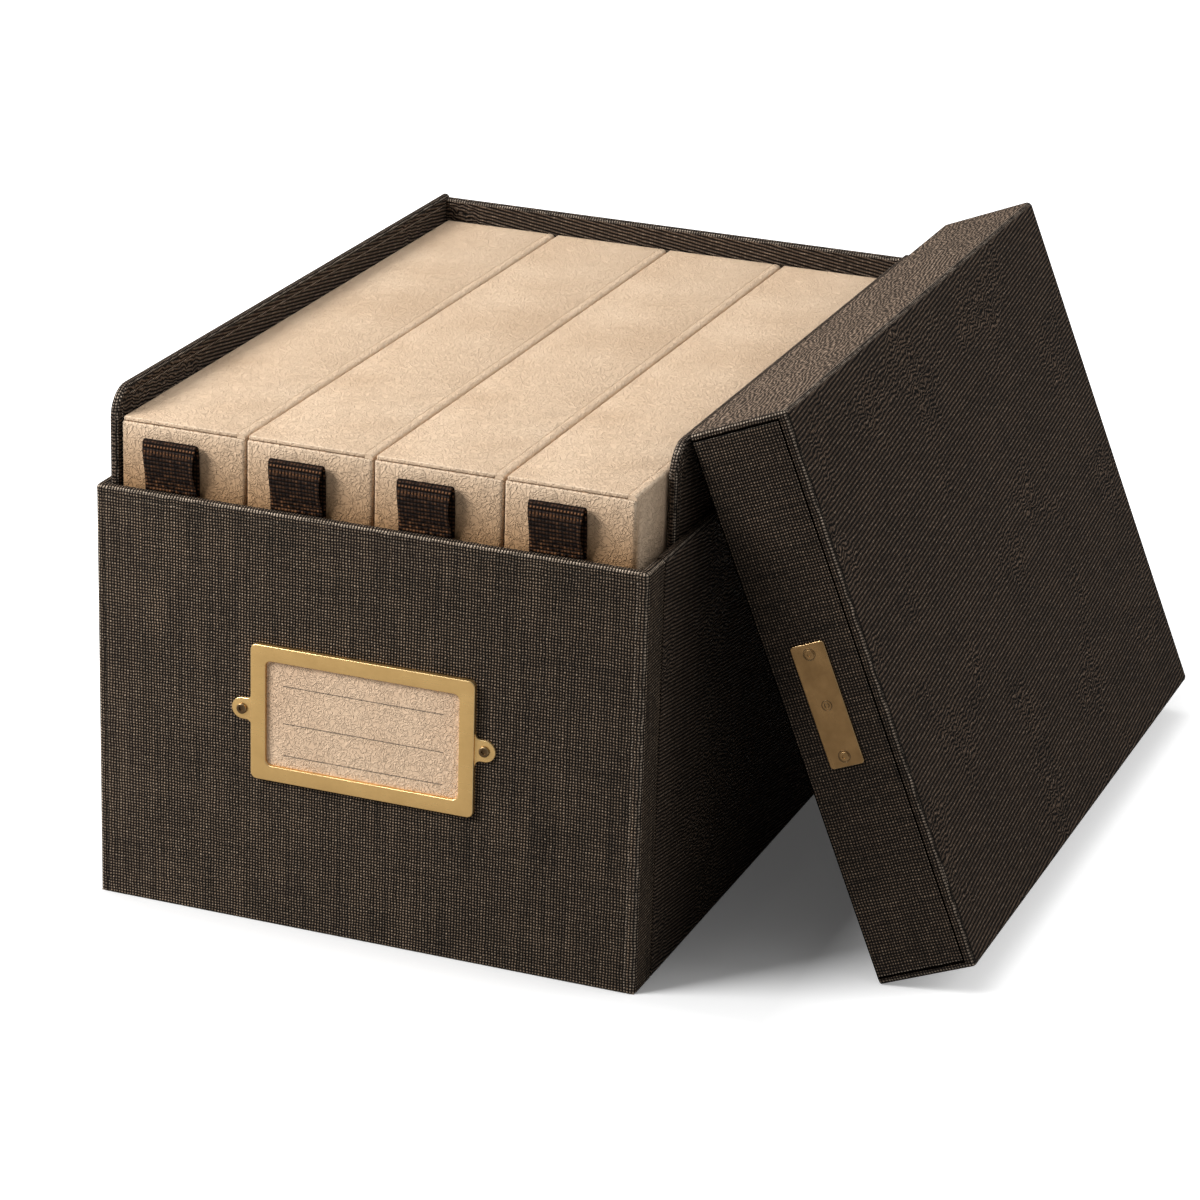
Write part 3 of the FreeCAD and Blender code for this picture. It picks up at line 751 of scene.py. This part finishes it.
def press_line(piece, axis, place):
    """Press a shallow line across the front face."""
    half = 0.6 * MM
    cut_across(piece, axis, (place - half, place, place + half))
    pick(piece, "VERT", lambda corner: lies(corner, **{axis: place})
         and corner.co.y < FRONT_LOW.y + 0.02 * MM)
    shift((0, 0.3 * MM, 0))


def bent_cover(name, low, high, outer, wall, end):
    """Cloth round one long side and both corners of the base, with arms that run to the end."""
    piece = footprint(name, (low.x, min(outer, wall)), (high.x, max(outer, wall)), low.z)
    cut_across(piece, "x", (-SIDE_FACE, SIDE_FACE))
    pick(piece, "EDGE", lambda edge: lies(edge, y=wall)
         and not lies(edge, x=(-SIDE_FACE, SIDE_FACE)))
    push((0, end - wall, 0))
    pick_all(piece)
    push((0, 0, RIM - low.z))
    face_outwards(piece)
    roundover(piece, lambda edge: upright(edge) and sharp(edge) and lies(edge, y=outer),
              CORNER, 6)
    inner = {"x": (-SIDE_FACE, SIDE_FACE), "y": (min(wall, end), max(wall, end))}
    roundover(piece, lambda edge: lies(edge, z=RIM) and sharp(edge)
              and not lies(edge, y=end) and not lies(edge, **inner), OUTER_RIM, 5)
    roundover(piece, lambda edge: lies(edge, z=RIM, **inner) and sharp(edge)
              and not lies(edge, y=end), INNER_RIM, 4)
    return piece


def make_front_cover():
    """The front cloth: face, rim, turn-in, and a narrow return round both corners."""
    piece = bent_cover("front_cover", FRONT_LOW, FRONT_HIGH, FRONT_LOW.y, FRONT_FACE, SEAM)
    cut_across(piece, "z", (RIM - TURN_IN, RIM_FOOT))
    swell(piece, on_bead, 0.1 * MM)
    # Soft lines run inside the rim and both corners, where the board's edge shows through.
    press_line(piece, "z", RIM - 3.1 * MM)
    for side in (-1, 1):
        press_line(piece, "x", side * (FRONT_HIGH.x - 3.4 * MM))
    remove(piece, lambda face: lies(face, z=FRONT_LOW.z) or lies(face, y=SEAM)
           or lies(face, x=(-SIDE_FACE, SIDE_FACE), y=(FRONT_FACE, SEAM),
                   z=(0, RIM - TURN_IN)))
    thicken(piece, SKIN)
    surface(piece)
    fit(piece, "base", ["front_cloth"], FRONT_CLOTH)


def make_body_cover():
    """The cloth round the left, back and right; it runs a little way under the returns."""
    start = SEAM + SEAM_GAP
    piece = bent_cover("body_cover", BODY_LOW, BODY_HIGH, BODY_HIGH.y, BACK_FACE, start)
    cut_across(piece, "z", (RIM_FOOT,))
    swell(piece, on_bead, 0.3 * MM)
    # The front ends dip under the returns of the front cloth.
    pick(piece, "FACE", lambda face: lies(face, y=start))
    bpy.ops.mesh.inset(thickness=0.36 * MM, use_boundary=True, use_even_offset=True)
    push((0, -UNDER_RETURN, 0))
    cut_across(piece, "z", (RIM - TURN_IN,))
    remove(piece, lambda face: lies(face, z=BODY_LOW.z) or lies(face, y=start - UNDER_RETURN)
           or lies(face, z=(0, RIM - TURN_IN), x=(-SIDE_FACE, SIDE_FACE), y=(-1, BACK_FACE)))
    thicken(piece, 0.12 * MM)
    surface(piece)
    fit(piece, "base", ["body_cloth"], SIDE_CLOTH)
    # Painted shade: the ends tucked under the returns are near-black.
    lay_faces(piece, SEAM_SHADE_CLOTH, [face.index for face in piece.data.polygons
                                  if face.center.y < start - 0.02 * MM])


def make_shoulder():
    """The shoulder: two side boards with rounded front corners and a lower back board."""
    low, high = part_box("neck_cloth")
    outer = SIDE_FACE - 0.04 * MM
    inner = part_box("floor_lining")[1].x
    back_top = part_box("neck_back_board")[1].z + SHOULDER_CLOTH
    back_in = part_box("floor_lining")[1].y
    back_out = BACK_FACE - 0.04 * MM
    for name, board, x_low, x_high in (
            ("shoulder_left", "neck_left_board", -outer, -inner),
            ("shoulder_right", "neck_right_board", inner, outer)):
        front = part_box(board)[0].y - SHOULDER_CLOTH
        piece = blank(name, (x_low, front, low.z), (x_high, back_out, high.z))
        roundover(piece, lambda edge: lies(edge, y=front, z=high.z), SHOULDER_CORNER, 10)
        roundover(piece, lambda edge: (lies(edge, x=x_low) or lies(edge, x=x_high))
                  and not lies(edge, z=low.z) and not lies(edge, y=back_out),
                  RAIL_ROUND, 5)
        # A pressed line follows the edge of each face, where the turn-in ends beneath.
        for x in (x_low, x_high):
            pick(piece, "FACE", lambda face: lies(face, x=x))
            bpy.ops.mesh.inset(thickness=1.5 * MM)
            bpy.ops.mesh.inset(thickness=0.35 * MM, depth=-0.28 * MM)
            bpy.ops.mesh.inset(thickness=0.35 * MM, depth=0.28 * MM)
        remove(piece, lambda face: lies(face, z=low.z))
        thicken(piece, SKIN)
        surface(piece)
        fit(piece, "base", ["neck_cloth", board], SIDE_CLOTH)
    piece = blank("shoulder_back", (-inner, back_in, low.z), (inner, back_out, back_top))
    roundover(piece, lambda edge: lies(edge, z=back_top) and not lies(edge, x=-inner)
              and not lies(edge, x=inner), RAIL_ROUND, 5)
    remove(piece, lambda face: lies(face, z=low.z))
    thicken(piece, SKIN)
    surface(piece)
    fit(piece, "base", ["neck_back_board"], SIDE_CLOTH)


# ---------------------------------------------------------------- label holder

def make_holder():
    """The brass label holder: a frame with a sloping window edge and two pinned ears."""
    low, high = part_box("label_holder")
    middle = (low.z + high.z) / 2
    half = HOLDER_WIDTH / 2
    border = HOLDER_BORDER
    back = high.y
    front = low.y
    loops = []
    for name, inset in (("label_frame", 0), ("window", border)):
        loop = footprint(name, (inset - half, low.z + inset), (half - inset, high.z - inset), 0)
        pick_all(loop, "VERT")
        bpy.ops.mesh.bevel(offset=HOLDER_ROUND, segments=6, affect="VERTICES")
        bpy.ops.mesh.delete(type="ONLY_FACE")
        loops.append(loop)
    piece = join(loops, "label_frame")
    pick_all(piece, "EDGE")
    bpy.ops.mesh.bridge_edge_loops()
    put_down()
    piece.data.transform(Matrix.Rotation(math.pi / 2, 4, "X"))
    piece.data.transform(Matrix.Translation((0, back, 0)))
    pick_all(piece)
    push((0, front - back, 0))
    face_outwards(piece)
    edge_x, edge_z = half - border, (high.z - low.z) / 2 - border

    def in_window(edge):
        return lies(edge, x=(-edge_x, edge_x), z=(middle - edge_z, middle + edge_z))

    roundover(piece, lambda edge: lies(edge, y=front) and in_window(edge), 0.4 * MM, 3)
    roundover(piece, lambda edge: lies(edge, y=front) and not in_window(edge)
              and sharp(edge), 0.42 * MM, 4)
    shapes = [piece]
    ear_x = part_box("holder_pins")[1].x - PIN_HEAD
    ear_thick = (back - front) / 2
    for side in (-1, 1):
        ear = round_blank("ear", (side * ear_x, back - ear_thick / 2, middle), EAR_RADIUS,
                          ear_thick, 48)
        # The inner half gives way to a tongue that flares where it meets the frame.
        pick_all(ear)
        bpy.ops.mesh.bisect(plane_co=(side * ear_x, 0, 0), plane_no=(side, 0, 0),
                            clear_inner=True)
        pick(ear, "EDGE", lambda edge: lies(edge, x=side * ear_x)
             and len(edge.link_faces) == 1)
        for step, flare in ((1.7, 1.0), (0.8, 1.07), (0.6, 1.16), (0.5, 1.28), (0.9, 1.0)):
            push((-side * step * MM, 0, 0))
            bpy.ops.transform.resize(value=(1, 1, flare),
                                     center_override=(side * ear_x, back, middle))
        face_outwards(ear)
        roundover(ear, lambda edge: lies(edge, y=back - ear_thick) and sharp(edge),
                  0.3 * MM, 3)
        shapes.append(ear)
    piece = join(shapes, "label_frame")
    surface(piece, 35)
    fit(piece, "base", ["label_holder"], BRASS)


def make_fixing(name, centre, radius, height, shank, length, recess):
    """A round-headed fixing seen from the front: domed head, rim groove and a small socket."""
    piece = round_blank(name, centre - Vector((0, height / 2, 0)), radius, height, 36)
    front = centre.y - height
    pick(piece, "FACE", lambda face: lies(face, y=front))
    bpy.ops.mesh.inset(thickness=radius * 0.28)
    shift((0, -height * 0.25, 0))
    bpy.ops.mesh.inset(thickness=radius * 0.26)
    bpy.ops.mesh.inset(thickness=radius * 0.08)
    shift((0, recess, 0))
    pick(piece, "EDGE", lambda edge: lies(edge, y=front))
    bpy.ops.mesh.bevel(offset=height * 0.35, segments=3, affect="EDGES")
    pick(piece, "FACE", lambda face: lies(face, y=centre.y))
    bpy.ops.mesh.inset(thickness=radius - shank)
    push((0, length, 0))
    surface(piece, 35)
    return piece


def make_holder_pins():
    """The two pins that hold the label holder by its ears."""
    low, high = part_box("holder_pins")
    ear = (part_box("label_holder")[1].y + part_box("label_holder")[0].y) / 2
    middle = (low.z + high.z) / 2
    x = high.x - PIN_HEAD
    pins = [make_fixing("pin", Vector((side * x, ear, middle)), PIN_HEAD, PIN_HEIGHT,
                        PIN_SHANK, high.y - ear, PIN_SOCKET) for side in (-1, 1)]
    piece = join(pins, "label_pins")
    fit(piece, "base", ["holder_pins"], DARK_BRASS)


# ---------------------------------------------------------------- cases

def make_case_walls(number):
    """The paper-wrapped walls of one case, with soft corners."""
    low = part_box(f"case_{number}_front")[0]
    high = Vector(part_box(f"case_{number}_back")[1])
    piece = blank(f"case_{number}_walls", low, high)
    roundover(piece, upright, 1.3 * MM, 5)
    remove(piece, lambda face: lies(face, z=low.z) or lies(face, z=high.z))
    thicken(piece, CASE_WALL)
    roundover(piece, lambda edge: lies(edge, z=high.z) and sharp(edge), 0.7 * MM, 3)
    roundover(piece, lambda edge: lies(edge, z=low.z) and sharp(edge), 0.5 * MM, 2)
    surface(piece)
    fit(piece, f"case_{number}",
        [f"case_{number}_{side}" for side in ("front", "back", "left", "right")],
        CASE_WALL_PAPER)


def make_flap(number):
    """The top flap: a thin wrapped board with a soft edge all round."""
    low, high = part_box(f"case_{number}_flap")
    low.x += 0.5 * MM
    high.x += 0.22 * MM
    piece = blank(f"case_{number}_top_flap", low, high)
    roundover(piece, lambda edge: not lies(edge, z=low.z) and not lies(edge, z=high.z),
              0.5 * MM, 3)
    roundover(piece, lambda edge: (lies(edge, z=high.z) or lies(edge, z=low.z))
              and sharp(edge), 0.4 * MM, 3)
    surface(piece)
    fit(piece, f"flap_{number}", [f"case_{number}_flap"], CASE_PAPER)


def make_hinge(number):
    """The paper hinge along the right-hand edge, rounded over the wall."""
    low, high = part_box(f"case_{number}_hinge")
    piece = blank(f"case_{number}_hinge_strip", low, high)
    cut_across(piece, "x", (low.x + 0.9 * MM,))
    pick(piece, "VERT", lambda corner: lies(corner, x=high.x, z=high.z))
    shift((0, 0, -0.3 * MM))
    roundover(piece, lambda edge: lies(edge, x=high.x) and lies(edge, z=high.z - 0.3 * MM),
              1.25 * MM, 6)
    roundover(piece, lambda edge: lies(edge, x=low.x, z=high.z), 0.25 * MM, 3)
    surface(piece)
    fit(piece, f"case_{number}", [f"case_{number}_hinge"], CASE_PAPER)


# The ribbon's middle line from its back end, up, over the fold and down behind the front wall,
# as distance in front of the case and height below the top of the fold, in millimetres.
RIBBON_LINE = (
    (0.42, 55.9), (0.42, 40.0), (0.42, 24.0), (0.42, 14.0), (0.5, 7.0), (0.85, 3.0),
    (1.35, 1.0), (2.1, 0.25), (3.0, 0.5), (3.75, 1.7), (4.25, 4.0), (4.3, 7.0),
    (3.7, 11.0), (2.75, 14.5), (2.0, 18.0), (1.75, 24.0), (1.7, 40.0), (1.7, 55.9),
)


def make_ribbons():
    """One ribbon pull, folded double, then a copy of it for each case."""
    low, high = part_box("case_1_ribbon")
    face = high.y
    width = high.x - low.x
    middle = (low.x + high.x) / 2
    points = [Vector((middle, face - out * MM, high.z - down * MM)) for out, down in RIBBON_LINE]
    put_down()
    bpy.ops.mesh.primitive_plane_add(size=1, location=(points[0] + points[1]) / 2,
                                     rotation=(math.pi / 2, 0, 0))
    bpy.context.object.scale = (width, points[1].z - points[0].z, 1)
    first = named("ribbon")
    for start, end in zip(points[1:-1], points[2:]):
        pick(first, "EDGE", lambda edge: lies(edge, y=start.y, z=start.z)
             and len(edge.link_faces) == 1)
        push(end - start)
    cut_across(first, "x", [middle + width * part
                            for part in (-0.42, -0.3, -0.1, 0.1, 0.3, 0.42)])
    face_outwards(first)
    # The loop draws in a little under the fold and bells out again lower down.
    for drop, narrow in ((1.7, 0.99), (4.0, 0.965), (7.0, 0.935), (11.0, 0.92), (14.5, 0.94),
                         (18.0, 0.97)):
        pick(first, "VERT", lambda corner: abs(corner.co.z - (high.z - drop * MM)) < TOUCH
             and corner.co.y < face - 1.2 * MM)
        bpy.ops.transform.resize(value=(narrow, 1, 1),
                                 center_override=(middle, face, high.z))
    # Its right-hand side stands further off the case than its left.
    for part, out in ((0.3, 0.12), (0.42, 0.28), (0.5, 0.42)):
        pick(first, "VERT",
             lambda corner: abs(corner.co.x - middle - width * part) < 0.05 * width
             and corner.co.x > middle and corner.co.y < face - 3.2 * MM)
        shift((0, -out * MM, 0))
    apply_modifier(first, "SOLIDIFY", thickness=RIBBON_THICK, offset=0, use_even_offset=True)
    apply_modifier(first, "SUBSURF", levels=2, render_levels=2)
    surface(first, 60)
    for number in range(1, 5):
        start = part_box(f"case_{number}_ribbon")[0]
        piece = copy_of(first, f"case_{number}_ribbon_pull", (start.x - low.x, 0, 0))
        fit(piece, f"case_{number}", [f"case_{number}_ribbon"], RIBBON)
    bpy.data.objects.remove(first)


# ---------------------------------------------------------------- lid
# Lid pieces are made flat, rim down: x from the upper long side to the lower one, y from
# the front end to the rear, z from rim to top. Then they are leaned against the shoulder.

LID_WIDTH = 2 * (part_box("neck_cloth")[1].x + LID_PLAY + LID_WALL)
LID_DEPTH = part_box("lid_wrap")[1].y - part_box("lid_wrap")[0].y
LEANED = (Matrix.Translation((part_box("lid_wrap")[0].x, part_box("lid_wrap")[0].y,
                              LID_WIDTH * math.sin(LID_LEAN)))
          @ Matrix.Rotation(LID_LEAN, 4, "Y"))
PANEL_UPPER = 2.2 * MM
PANEL_LOWER = LID_WIDTH - 2.3 * MM
PANEL_TOP = LID_HEIGHT - 3.4 * MM
GROOVE = 0.85 * MM
GROOVE_DEPTH = 0.42 * MM


def lean(piece):
    """Put a finished lid piece where the lid leans."""
    put_down()
    piece.data.transform(LEANED)


def make_lid_wrap():
    """The lid's cloth: top, long sides, and narrow returns framing each end."""
    piece = blank("lid_cover", (0, 0, 0), (LID_WIDTH, LID_DEPTH, LID_HEIGHT))
    roundover(piece, lambda edge: lies(edge, z=LID_HEIGHT) or upright(edge), LID_ROUND, 6)
    remove(piece, lambda face: lies(face, z=0))
    for end, inward in ((0, 1), (LID_DEPTH, -1)):
        pick(piece, "FACE", lambda face: lies(face, y=end))
        bpy.ops.mesh.inset(thickness=0.4 * MM, use_boundary=False)
        # The opening is drawn to size from its two lower corners and its top.
        start = LID_ROUND + 0.4 * MM
        bpy.ops.transform.resize(
            value=((PANEL_LOWER - PANEL_UPPER) / (LID_WIDTH - 2 * start), 1,
                   PANEL_TOP / (LID_HEIGHT - start)),
            center_override=(LID_WIDTH / 2, end, 0))
        shift(((PANEL_LOWER + PANEL_UPPER - LID_WIDTH) / 2, 0, 0))
        push((0, inward * GROOVE_DEPTH, 0))
        bpy.ops.mesh.inset(thickness=2.5 * MM, use_boundary=False)
        bpy.ops.mesh.delete(type="FACE")
    # The rim turns in round the skirt boards and lines them.
    pick(piece, "EDGE", lambda edge: lies(edge, z=0) and len(edge.link_faces) == 1
         and (lies(edge, x=0) or lies(edge, x=LID_WIDTH)))
    push((0, 0, 0))
    bpy.ops.transform.resize(value=((LID_WIDTH - 2 * LID_WALL) / LID_WIDTH, 1, 1),
                             center_override=(LID_WIDTH / 2, 0, 0))
    push((0, 0, LID_HEIGHT - LID_WALL - 0.6 * MM))
    face_outwards(piece)
    thicken(piece, 0.06 * MM)
    surface(piece)
    # Painted shade: the grooves round each end panel are near-black.
    deep = [face.index for face in piece.data.polygons
            if PANEL_UPPER - 1e-5 < face.center.x < PANEL_LOWER + 1e-5
            and -1 < face.center.z < PANEL_TOP + 1e-5
            and (0.01 * MM < face.center.y < 0.6 * MM
                 or 0.01 * MM < LID_DEPTH - face.center.y < 0.6 * MM)]
    top = [face.index for face in piece.data.polygons if face.normal.z > 0.9]
    upper = [face.index for face in piece.data.polygons if face.normal.x < -0.9]
    ends = [face.index for face in piece.data.polygons if abs(face.normal.y) > 0.5]
    lean(piece)
    fit(piece, "lid", ["lid_wrap", "lid_lower_binding"], SIDE_CLOTH)
    # Painted light and shade: darker ends and top, a lighter upper long side.
    lay_faces(piece, SHADED_LID_END_CLOTH, ends)
    lay_faces(piece, SHADED_LID_TOP_CLOTH, top)
    lay_faces(piece, LIT_LID_SIDE_CLOTH, upper)
    lay_faces(piece, SEAM_SHADE_CLOTH, deep)


def make_lid_end(name, node, outside, inside):
    """An end panel let into the wrap: outer face, rim, and the turn-in behind."""
    low = (PANEL_UPPER + GROOVE, min(outside, inside), 0)
    high = (PANEL_LOWER - GROOVE, max(outside, inside), PANEL_TOP - GROOVE)
    piece = blank(name, low, high)
    roundover(piece, lambda edge: lies(edge, z=0) and not lies(edge, x=low[0])
              and not lies(edge, x=high[0]), 0.8 * MM, 4)
    roundover(piece, lambda edge: upright(edge) and lies(edge, y=outside), 0.9 * MM, 4)
    roundover(piece, lambda edge: lies(edge, z=high[2], y=outside), 0.8 * MM, 4)
    remove(piece, lambda face: lies(face, z=high[2]))
    thicken(piece, SKIN)
    surface(piece)
    lean(piece)
    # The end panels take the front cloth's copy with painted shade.
    fit(piece, "lid", [node], SHADED_LID_END_CLOTH)


def make_lid_plate():
    """The aged brass plate: rings at its middle and round its two screws."""
    middle = PLATE_MIDDLE
    thick = PLATE_THICK
    centre = LID_WIDTH / 2
    half = Vector((PLATE_LENGTH, 0, PLATE_WIDTH)) / 2
    piece = blank("lid_name_plate", Vector((centre, -thick, middle)) - half,
                  Vector((centre, 0, middle)) + half)
    roundover(piece, lambda edge: not lies(edge, y=-thick) and not lies(edge, y=0),
              PLATE_CORNER, 5)
    roundover(piece, lambda edge: lies(edge, y=-thick) and sharp(edge),
              0.3 * MM, 3)
    rings = [piece]
    for offset, radius in ((0, 1.75 * MM), (0, 0.8 * MM), (-SCREW_PLACE, 2.05 * MM),
                           (SCREW_PLACE, 2.05 * MM)):
        put_down()
        bpy.ops.mesh.primitive_torus_add(major_radius=radius, minor_radius=0.17 * MM,
                                         major_segments=36, minor_segments=8,
                                         location=(centre + offset, -thick, middle),
                                         rotation=(math.pi / 2, 0, 0))
        rings.append(named("ring"))
    piece = join(rings, "lid_name_plate")
    surface(piece, 35)
    raised = [face.index for face in piece.data.polygons
              if face.center.y < -thick - 0.01 * MM]
    lean(piece)
    fit(piece, "lid", ["lid_plate"], AGED_BRASS)
    lay_faces(piece, DARK_BRASS, raised)
    heads = [make_fixing("screw", Vector((centre + side * SCREW_PLACE, -thick, middle)),
                         SCREW_HEAD, SCREW_HEIGHT, SCREW_SHANK, thick + SCREW_BITE,
                         SCREW_SOCKET)
             for side in (-1, 1)]
    piece = join(heads, "lid_plate_screws")
    lean(piece)
    fit(piece, "lid", ["plate_screws"], AGED_BRASS)


make_front_cover()
make_body_cover()
make_shoulder()
make_holder()
make_holder_pins()
for number in range(1, 5):
    make_case_walls(number)
    make_flap(number)
    make_hinge(number)
make_ribbons()
make_lid_wrap()
make_lid_end("lid_front_panel", "lid_front_cloth", 0, LID_WALL)
make_lid_end("lid_rear_panel", "lid_rear_cloth", LID_DEPTH, LID_DEPTH - LID_WALL)
make_lid_plate()

# ---------------------------------------------------------------- finishes of the CAD nodes

PLAIN_FINISHES = {
    "greyboard": GREYBOARD, "lining_paper": LINING_PAPER, "case_paper": CASE_PAPER_PLAIN,
    "card_stock": CARD, "brass": BRASS, "aged_brass": AGED_BRASS, "ribbon": RIBBON,
    "book_cloth": SIDE_CLOTH,
}
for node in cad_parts.values():
    for place in node.material_slots:
        place.material = PLAIN_FINISHES[place.material.name]


# ---------------------------------------------------------------- floor, light and camera

def make_floor():
    """A plain white floor that stays evenly bright away from the box."""
    put_down()
    bpy.ops.mesh.primitive_plane_add(size=14, location=(0, 2, 0))
    floor = named("floor")
    material, tree, shader = new_material("studio floor")
    # The sweep is white to look at, and throws back less light than plain white paper.
    seen = add(tree, "LightPath").outputs["Is Camera Ray"]
    paper = blend_colour(tree, seen, (0.4, 0.4, 0.4, 1), (0.93, 0.93, 0.93, 1))
    # Further out it glows a little, so that it stays even away from the lamps.
    spot = place_in_box(tree)
    beside = calc(tree, "SUBTRACT", spot["X"], 0.02)
    beside = calc(tree, "SUBTRACT", calc(tree, "ABSOLUTE", beside), 0.13)
    before = calc(tree, "SUBTRACT", calc(tree, "ABSOLUTE", spot["Y"]), 0.15)
    reach = calc(tree, "MAXIMUM", beside, before)
    glow = times(tree, span(tree, reach, -0.005, 0.085, 0.05, 0.72), seen)
    feed(tree, shader, {"Base Color": paper, "Emission Color": (1, 1, 1, 1),
                        "Emission Strength": glow, "Roughness": 0.9,
                        "Specular IOR Level": 0.0})
    floor.data.materials.append(material)


def make_light(name, place, aim, size, power):
    """A square soft lamp at one place, aimed at another."""
    lamp = bpy.data.lights.new(name, "AREA")
    lamp.shape = "SQUARE"
    lamp.size = size
    lamp.energy = power
    light = bpy.data.objects.new(name, lamp)
    bpy.context.scene.collection.objects.link(light)
    light.location = place
    light.rotation_euler = (Vector(aim) - Vector(place)).to_track_quat("-Z", "Y").to_euler()


def make_world():
    """Even white light from all round."""
    world = bpy.data.worlds.new("studio")
    world.use_nodes = True
    background = world.node_tree.nodes["Background"]
    background.inputs["Color"].default_value = (1, 1, 1, 1)
    background.inputs["Strength"].default_value = 0.22
    bpy.context.scene.world = world


def make_camera():
    """The camera, to the box's right and above it, turned a little about its own line."""
    azimuth = math.radians(20.845)
    elevation = math.radians(20.647)
    roll = math.radians(1.765)
    right = Vector((math.cos(azimuth), math.sin(azimuth), 0))
    back = Vector((math.sin(azimuth) * math.cos(elevation),
                   -math.cos(azimuth) * math.cos(elevation), math.sin(elevation)))
    up = back.cross(right)
    across = math.cos(roll) * right + math.sin(roll) * up
    upward = math.cos(roll) * up - math.sin(roll) * right
    lens = bpy.data.cameras.new("camera")
    lens.lens = 126.99
    lens.sensor_width = 36
    lens.clip_start = 0.05
    camera = bpy.data.objects.new("camera", lens)
    bpy.context.scene.collection.objects.link(camera)
    turned = Matrix((across, upward, back)).transposed().to_4x4()
    camera.matrix_world = Matrix.Translation((0.53948, -1.34165, 0.62136)) @ turned
    bpy.context.scene.camera = camera


make_floor()
make_world()
make_light("key", (-1.15, -1.0, 1.15), (0, 0, 0.1), 0.8, 40)
make_light("top", (-0.2, 0.3, 2.0), (0.05, 0, 0.1), 1.4, 14)
make_light("right", (1.7, 0.5, 1.3), (0.15, 0, 0.1), 1.0, 9)
make_camera()
bpy.context.scene.view_settings.view_transform = "Standard"
